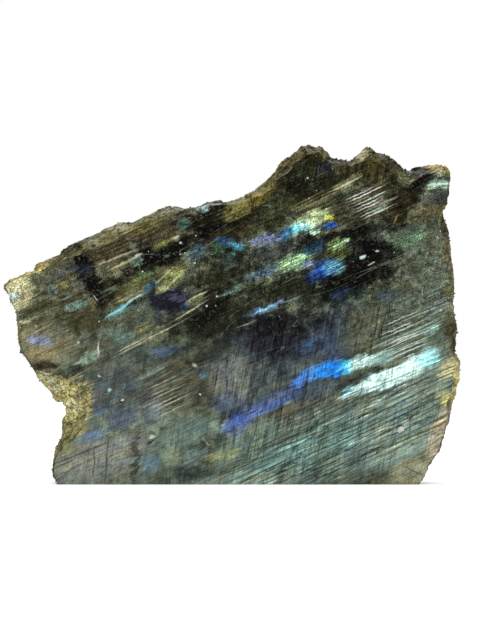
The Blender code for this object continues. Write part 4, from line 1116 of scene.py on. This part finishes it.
def polished_finish():
    finish = Finish("polished_face", POLISH)
    place = Place(finish)
    patterns = Patterns(finish, place)
    striped = zone(finish, place, STRIPED, 0.12)
    upright = zone(finish, place, UPRIGHT, 0.3)
    greys = (PALETTE["DARK_GREEN_GREY"], PALETTE["GREEN_GREY"])
    base = finish.blend(finish.rise(patterns.mottle, 0.35, 0.65), *greys)
    colour = lay(finish, base, place.face, GROUND, unrest=patterns.unrest * 0.45)
    busy = finish.rise(place.height, *BUSY_HEIGHTS)
    mottled = swing(patterns.mottle, 1.7 + busy * 0.6)
    tone = mottled + (swing(patterns.streaks, 3.0) - mottled) * striped
    colour = finish.tinted(colour, tone * swing(patterns.uprights, 2.6 * upright))
    hue = finish.rise(finish.cloud(place.sheets, (13, 16, 4.5), 5.0, 0.62), 0.4, 0.6)
    colour = finish.stained(colour, finish.blend(hue, WARM, COOL))
    grainy = grains_zone(finish, place)
    crumbs = finish.rise(patterns.patches * 0.6 + patterns.uprights * 0.4, 0.54, 0.44)
    unrest = patterns.unrest * 0.7
    colour = lay(finish, colour, place.face, DARKS, crumbs=crumbs, crumbling=0.45, unrest=unrest)
    colour = add_grains(finish, colour, patterns, grainy)
    colour = lay(finish, colour, place.face, FLASHES, patterns.gaps, crumbs, 0.55, patterns.combing)
    veins = ridges(finish, patterns.mottle, 0.025)
    lines = patterns.dark_lines * striped * 0.55
    dark = (1 - lines) * (1 - patterns.seams * (0.35 + striped * 0.35))
    dark = dark * (1 - veins * (1 - striped) * (0.15 + busy * 0.3))
    cracks = 1 - (finish.rise(patterns.uprights, 0.38, 0.28) * 0.45 + patterns.splits * 0.8) * upright
    fine = swing(patterns.dust, 2.0 + busy * 3.0) * swing(patterns.patches, 1.0 + busy * 2.4)
    fine = fine.maths("MAXIMUM", fine * swing(patterns.fibres, 1.0 + striped * 1.6), 0.1)
    glints = 1 + finish.rise(patterns.fibres, 0.62, 0.74) * (0.25 + striped)
    colour = finish.node("ShaderNodeGamma", {}, {"Color": colour, "Gamma": CONTRAST})
    colour = finish.tinted(colour, dark * cracks * fine * glints * CONTRAST_GAIN)
    specks = finish.rise(patterns.dust, 0.68, 0.78) * 0.2 + patterns.hairs * (1 - crumbs) * 0.3
    colour = finish.blend(specks, colour, PALETTE["PALE_GREEN_GREY"])
    colour = lay(finish, colour, place.plain, DETAILS, crumbs=crumbs, crumbling=0.45)
    finish.feed("Base Color", colour)
    finish.feed("Roughness", POLISH + grainy * GRAIN_ROUGHNESS)
    return finish.material


# %% [markdown]
# ## Broken and sawn stone
#
# Where the stone broke it is dull, and the thin edges let light through, so they are gold and olive
# where the face is grey: partly the edge's own colour, and partly a painted glow of that light. The
# back is the grey of the stone with brown in its cracks. The pits in the polish broke too, but each has
# the colour of the face round it, and a white heart; the one by the left has a painted shade at its
# foot. The sawn base is a fine even grey, with the arcs of the saw just seen.

# %% Marks on the broken edge
# The golds here are partly the edge's own colour and partly a painted glow of light through it.
EDGES = [
    ("gold under the tip", -94.5, 96.5, 11.9, 3.2, 22, "GOLD", 0.9, 0.3),
    ("olive lump", -76.5, 105.5, 7.8, 3.7, 24, "DARK_BROWN_OLIVE", 0.8, 0.4),
    ("dark seam in the lump", -71.5, 109, 2.3, 3.2, 60, "BLACK_BROWN", 0.9, 0.5),
    ("pale crumbs", -63.5, 112, 5, 2.7, 20, "STRAW_GREY", 0.8, 0.4),
    ("olive gold", -55, 115.5, 6.9, 3.2, 24, "OLIVE_GOLD", 0.7, 0.4),
    ("pale crumbs above", -50.5, 118.5, 6.4, 2.3, 16, "PALE_STRAW_SOFT", 0.7, 0.4),
    ("straw olive", -38, 123, 11, 3.7, 28, "OLIVE_LIGHT", 0.9, 0.4),
    ("straw at the bend", -28.5, 125.5, 6.4, 2.7, 10, "STRAW_GREY", 0.7, 0.4),
    ("grey white", -12.5, 128, 11, 2.7, 0, "OLIVE_GREY_DARK", 0.8, 0.4),
    ("gold brown slope", 6.5, 132.5, 9.2, 4.6, 40, "OLIVE_LIGHT", 0.9, 0.4),
    ("gold on the slope", 13.5, 135.5, 4.6, 3.2, 40, "GOLD_DULL", 0.5, 0.3),
    ("dark slope", 20, 143, 8.2, 4.6, 48, "OLIVE_RIM", 0.95, 0.4),
    ("peak olive", 30.5, 153, 9.2, 5, 10, "OLIVE_RIM", 0.95, 0.4),
    ("yellow peak", 38, 154, 4.1, 2.3, 20, "OLIVE_GOLD", 0.9, 0.4),
    ("saddle", 48, 148.5, 7.3, 3.2, 0, "EARTH_DARK", 0.9, 0.4),
    ("right peak", 62, 150.5, 9.2, 4.6, 0, "OLIVE_RIM", 0.95, 0.4),
    ("gold knob of the right peak", 60, 151, 3.7, 2.3, 40, "GOLD_PALE", 0.8, 0.3),
    ("brown crumbs", 73, 147, 5.9, 4.6, -30, "EARTH", 0.9, 0.4),
    ("dark grey crumbs", 84, 143, 6.9, 4.1, 0, "BLACK_GREY", 0.95, 0.4),
    ("corner gold edge", 95, 145.5, 6.4, 3.7, 0, "GOLD", 0.9, 0.4),
    ("right edge grey", 98.5, 130, 3.7, 8.2, 0, "GREY", 0.9, 0.4),
    ("right edge crumbs", 98, 117.5, 3.7, 7.3, 0, "GREY", 0.8, 0.4),
    ("right edge gold brown", 100, 103.5, 3.2, 7.3, 0, "TAN", 0.8, 0.4),
    ("right edge olive", 100.5, 88, 3.7, 9.2, 0, "OLIVE_LIGHT", 0.7, 0.4),
    ("right edge brown", 100.5, 68.5, 3.7, 10.1, 0, "BROWN", 0.9, 0.4),
    ("right bulge gold", 102, 47, 4.1, 11.9, 0, "PALE_GOLD", 0.95, 0.4),
    ("right edge tan", 97.5, 20.5, 9.2, 16.5, -20, "BEIGE", 0.95, 0.4),
    ("left edge straw", -102, 77.5, 6.4, 15.6, 10, "OLIVE_LIGHT", 0.9, 0.4),
    ("left edge dark", -93.5, 55, 5.5, 4.6, 10, "DARK_BROWN", 0.7, 0.4),
    ("notch", -78, 39.5, 16.5, 15.6, 0, "PALE_GOLD", 1, 0.5),
    ("brown seam of the notch", -76.5, 42.5, 11.9, 0.8, 34, "DARK_BROWN", 0.3, 0.3),
    # The white and pale marks of the notch are painted highlights on its facets.
    ("painted highlight of the notch", -72.5, 37, 2.7, 4.1, 70, "PALE_STRAW", 0.7, 0.2),
    ("painted highlight above the notch", -85.5, 49.5, 4.1, 1.8, -30, "PALE_STRAW", 0.8, 0.2),
    ("tan of the notch", -82.5, 40.5, 4.1, 5.5, 60, "GOLD_DULL", 0.7, 0.2),
    ("round the small pit", -50.5, 38.5, 5.5, 5.5, 0, "SLATE_GREY", 1, 0.5),
    ("notch foot", -79, 17.5, 5.5, 11, 0, "OLIVE_LIGHT", 0.9, 0.4),
    ("olive of the notch", -68, 42.5, 4.6, 3.2, 40, "OLIVE_GREY", 0.6, 0.2),
    ("dark of the notch", -79, 51.5, 5.5, 0.7, 34, "DARK_BROWN", 0.5, 0.3),
    # A painted highlight on a facet of the notch.
    ("pale of the notch", -81, 46, 4.1, 2.3, -30, "PALE_STRAW", 0.8, 0.2),
]
PITS = [
    ("round the white pit", 77.5, 25.5, 4.5, 4.5, 0, "MIST", 1, 0.5),
    ("white pit", 77.3, 25.3, 2, 1.2, 40, "WHITE", 1, 0.5),
    ("round the pit by the left", -37.4, 22.6, 5.5, 5, 10, "MOSS_PALE", 1, 0.5),
    ("pit by the left", -37, 21.8, 1.5, 0.9, 20, "WHITE", 1, 0.4),
    # A painted shade in the lower corner of the pit by the left.
    ("painted shade at the foot of that pit", -35.5, 19.8, 2.7, 1.2, 20, "BLACK_BROWN", 0.9, 0.4),
    ("small white pit", -50.6, 38.6, 0.8, 0.6, 30, "WHITE", 1, 0.5),
]


# %% Broken and sawn finishes
EDGE_DEPTH = (13.0, 22.0)  # mm behind the polish: here the gold of the edge gives way to the grey back
PIT_DEPTH = (20.0, 12.0)  # mm: the colours of the pits end here
CRACK_SPAN = 3.6  # mm between the dark cracks of the broken faces
FACET_SPAN = 2.4  # mm
# the colour of the painted glints on the broken faces
CHIP_SPARK = (245, 243, 228)
SAW_MIDDLE = (140.0, -260.0, 0.0)  # mm: how far the saw's axle is from the stone's middle
SAW_ARCS = 0.16  # arcs for each turn of the wave in a mm


def broken_finish():
    finish = Finish("broken_stone", 0.5)
    finish.shader.inputs["Specular IOR Level"].default_value = 0.2
    place = Place(finish)
    patterns = Patterns(finish, place)
    blotches = finish.cloud(place.straight, (13, 13, 13), 3.0, 0.6)
    # the edge colour: the olive of the stone, with a painted glow of light through the thin edges
    edge = finish.blend(finish.rise(blotches, 0.35, 0.65), PALETTE["OLIVE"], PALETTE["OLIVE_LIGHT"])
    edge = lay(finish, edge, place.face, EDGES)
    back = finish.blend(finish.rise(blotches, 0.4, 0.62), PALETTE["GREY"], PALETTE["WARM_GREY"])
    rust = finish.rise(finish.cloud(place.sheets, (34, 30, 9), 4.0, 0.6), 0.52, 0.68)
    back = finish.blend(rust * 0.6, back, PALETTE["GREY_BROWN"])
    colour = finish.blend(finish.rise(place.depth, *EDGE_DEPTH), edge, back)
    facets = finish.cells(place.wobbly, FACET_SPAN)
    web = {"Vector": place.wobbly, "Scale": 1 / CRACK_SPAN}
    cracked = finish.node("ShaderNodeTexVoronoi", {"feature": "DISTANCE_TO_EDGE"}, web)
    tone = (0.5 + facets * 0.7) * (patterns.dust * 0.9 + 0.55) * (patterns.streaks * 0.9 + 0.55)
    tone = tone * swing(patterns.mottle, 2.2) * (1 - patterns.seams * 0.5)
    colour = finish.tinted(colour, tone)
    pale_seams = ridges(finish, patterns.patches, 0.02) * finish.rise(facets, 0.3, 0.5)
    colour = finish.blend(pale_seams * 0.4, colour, PALETTE["GOLD_PALE"])
    dark_seams = finish.rise(cracked, 0.06, 0.015) * 0.75 + finish.rise(patterns.cells, 0.16, 0.12) * 0.4
    colour = finish.blend(dark_seams, colour, PALETTE["BLACK_BROWN"])
    worn = finish.rise(patterns.patches, 0.52, 0.42)
    pitted = lay(finish, colour, place.plain, PITS, crumbs=worn, crumbling=0.5)
    colour = finish.blend(finish.rise(place.depth, *PIT_DEPTH), colour, pitted)
    # painted glints: white dots that stand for light caught by small facets of the broken faces
    colour = finish.blend(patterns.sparks * 0.8, colour, linear(CHIP_SPARK))
    finish.feed("Base Color", colour)
    finish.feed("Roughness", 0.32 + facets * 0.4)
    finish.emboss(0.5, 0.25, patterns.dust * 0.6 + facets * 0.4)
    return finish.material


def sawn_finish():
    finish = Finish("sawn_base", 0.45)
    place = Place(finish)
    patterns = Patterns(finish, place)
    greys = (PALETTE["GREY"], PALETTE["GREEN_GREY_LIGHT"])
    colour = finish.blend(finish.rise(patterns.streaks, 0.35, 0.65), *greys)
    colour = finish.tinted(colour, patterns.dust * 0.5 + 0.8)
    rings = {"Vector": finish.plus(place.straight, SAW_MIDDLE), "Scale": SAW_ARCS, "Distortion": 0.6}
    arcs = finish.node("ShaderNodeTexWave", {"wave_type": "RINGS", "rings_direction": "Z"}, rings)
    finish.feed("Base Color", colour)
    finish.emboss(0.25, 0.05, arcs)
    return finish.material


for finish in (polished_finish(), broken_finish(), sawn_finish()):
    stone_mesh.materials.append(finish)
    print(finish.name, len(finish.node_tree.nodes), "nodes")

# %% [markdown]
# ## Flakes on the broken faces
#
# Broken feldspar is never clean: thin chips cling to it, flat side along the sheets. They repeat all
# over a surface, which is what Geometry Nodes are for. Points are scattered on the broken faces, a
# small chip is set on each, turned a little at random, and the result is made real mesh.

# %% A tree for the flakes
FLAKE = (1.0, 0.75, 0.38)  # mm
FLAKES_PER_AREA = 52000.0  # on a square metre
FLAKE_SEED = 11
FLAKE_INPUTS = (
    ("Stone", "Geometry"), ("Flakes per square metre", "Float", FLAKES_PER_AREA),
    ("Smallest", "Float", 0.5), ("Largest", "Float", 1.4), ("Turn", "Float", 0.45),
    ("Seed", "Int", FLAKE_SEED),
)


def flake_tree():
    """Sets a chip on each of many points of the broken faces."""
    tree = group_tree("cleavage_flakes", "GeometryNodeTree", FLAKE_INPUTS, (("Stone", "Geometry"),))
    given = tree.given()
    index = tree.node("GeometryNodeInputMaterialIndex", {}, {})
    equal = {"data_type": "INT", "operation": "EQUAL"}
    is_broken = tree.node("FunctionNodeCompare", equal, {"A_INT": index, "B_INT": BROKEN})
    points = tree.node("GeometryNodeDistributePointsOnFaces", {"distribute_method": "RANDOM"}, {
        "Mesh": given["Stone"], "Selection": is_broken, "Density": given["Flakes per square metre"],
        "Seed": given["Seed"],
    })
    chip = tree.node("GeometryNodeMeshCube", {}, {"Size": [side * MM for side in FLAKE]})
    turn = tree.node("FunctionNodeRandomValue", {"data_type": "FLOAT_VECTOR"}, {"Seed": given["Seed"]})
    centred = tree.vectors("SUBTRACT", turn, (0.5, 0.5, 0.5))
    reach = tree.node(
        "ShaderNodeVectorMath", {"operation": "SCALE"}, {"Vector": centred, "Scale": given["Turn"]}
    )
    lean = tree.plus(reach, (-DIP, -SLOPE, 0.4))
    size = tree.node("FunctionNodeRandomValue", {"data_type": "FLOAT"}, {
        "Min_001": given["Smallest"], "Max_001": given["Largest"], "Seed": given["Seed"],
    })
    chips = tree.node("GeometryNodeInstanceOnPoints", {}, {
        "Points": points, "Instance": chip, "Rotation": lean, "Scale": size,
    })
    real = tree.node("GeometryNodeRealizeInstances", {}, {"Geometry": chips})
    material = stone_mesh.materials[BROKEN]
    finished = tree.node("GeometryNodeSetMaterial", {}, {"Geometry": real, "Material": material})
    both = tree.node("GeometryNodeJoinGeometry", {}, {"Geometry": finished})
    tree.tree.links.new(given["Stone"].socket, both.socket.node.inputs[0])
    tree.give({"Stone": both})
    return tree.tree


# %% Setting the flakes
CLIP = 0.01  # mm: how far inside the solid's box the flakes end
SHARP = math.radians(28)  # edges steeper than this stay sharp

flakes = stone.modifiers.new("flakes", "NODES")
flakes.node_group = flake_tree()
inputs = {s.name: s.identifier for s in flakes.node_group.interface.items_tree if s.in_out == "INPUT"}
flakes[inputs["Flakes per square metre"]] = FLAKES_PER_AREA
flakes[inputs["Seed"]] = FLAKE_SEED
whole = bpy.data.meshes.new_from_object(stone.evaluated_get(bpy.context.evaluated_depsgraph_get()))
stone.modifiers.remove(flakes)
stone.data = whole
corners = np.empty(len(whole.vertices) * 3, np.float32)
whole.vertices.foreach_get("co", corners)
clip = CLIP * MM
corners = np.clip(corners.reshape(-1, 3), np.array(solid_low) + clip, np.array(solid_high) - clip)
whole.vertices.foreach_set("co", corners.ravel())
whole.shade_smooth()
whole.set_sharp_from_angle(angle=SHARP)
smooth = [face.material_index == BROKEN for face in whole.polygons]
whole.polygons.foreach_set("use_smooth", smooth)
whole.update()
print("with flakes:", sum(len(p.vertices) - 2 for p in whole.polygons), "triangles")

# %% Riding on the frame
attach(stone, "root")
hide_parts("labradorite_slab")
print(stone.name, "rides on root")

# %% [markdown]
# ## The studio
#
# A white floor runs out to a white world, so the stone stands alone. The light is soft: a large panel
# on each side in front, out of the mirror direction of the polish, and one above. What lies behind the
# camera is dark, because a polished black stone shows whatever it faces.

# %% Floor, light and world
FLOOR_RADIUS = 40.0  # m: out of sight of the camera
FLOOR_PAINT = {
    "Base Color": (0.9, 0.9, 0.9, 1.0), "Roughness": 0.8, "Specular IOR Level": 0.1,
    "Emission Color": (1.0, 1.0, 1.0, 1.0), "Emission Strength": 0.15,
}
AIM = (0.0, 0.0, 0.08)
PANELS = (
    ("left_panel", (-0.95, -0.75, 0.75), 0.7, 5), ("right_panel", (0.95, -0.75, 0.75), 0.7, 3.5),
    ("top_panel", (0.0, -0.1, 1.3), 0.9, 5), ("back_panel", (0.0, 1.1, 0.8), 0.8, 4),
)
MIRRORED_WORLD = 0.04  # what the polish sees of the world, as a share

studio = bpy.context.scene
floor_mesh = bpy.data.meshes.new("floor")
disc = bmesh.new()
bmesh.ops.create_circle(disc, cap_ends=True, radius=FLOOR_RADIUS, segments=96)
disc.to_mesh(floor_mesh)
disc.free()
floor = bpy.data.objects.new("floor", floor_mesh)
studio.collection.objects.link(floor)
pale = bpy.data.materials.new("pale_floor")
pale.use_nodes = True
for name, value in FLOOR_PAINT.items():
    pale.node_tree.nodes["Principled BSDF"].inputs[name].default_value = value
floor_mesh.materials.append(pale)
floor.visible_glossy = False  # the polish doesn't mirror it

for name, place, size, power in PANELS:
    light = bpy.data.lights.new(name, "AREA")
    light.shape = "SQUARE"
    light.size = size
    light.energy = power
    lamp = bpy.data.objects.new(name, light)
    lamp.location = place
    lamp.rotation_euler = (Vector(AIM) - Vector(place)).to_track_quat("-Z", "Y").to_euler()
    studio.collection.objects.link(lamp)

world = bpy.data.worlds.new("studio")
studio.world = world
world.use_nodes = True
sky = Tree(world.node_tree)
mirrored = sky.node("ShaderNodeLightPath", {}, {}, "Is Glossy Ray")
shine = sky.node("ShaderNodeMapRange", {}, {"Value": mirrored, "To Min": 1.0, "To Max": MIRRORED_WORLD})
backdrop = sky.tree.nodes["Background"].inputs
backdrop["Color"].default_value = (1.0, 1.0, 1.0, 1.0)
sky.tree.links.new(shine.socket, backdrop["Strength"])
print("lights:", len(PANELS))

# %% Camera
CAMERA_DISTANCE = 1.5
PICTURE = (480, 640)
FRAME_WIDTH = 219.6 * MM  # what the picture spans at the polished face
CAMERA_X = 3.3 * MM
CAMERA_Z = 75.3 * MM

lens = bpy.data.cameras.new("camera")
lens.sensor_width = 36.0
lens.lens = lens.sensor_width * CAMERA_DISTANCE / (FRAME_WIDTH * PICTURE[1] / PICTURE[0])
camera = bpy.data.objects.new("camera", lens)
camera.location = (CAMERA_X, FACE_Y * MM - CAMERA_DISTANCE, CAMERA_Z)
camera.rotation_euler = (math.radians(90), 0, 0)
studio.collection.objects.link(camera)
studio.camera = camera
studio.view_settings.view_transform = "Standard"
print("lens, mm:", round(lens.lens, 1))
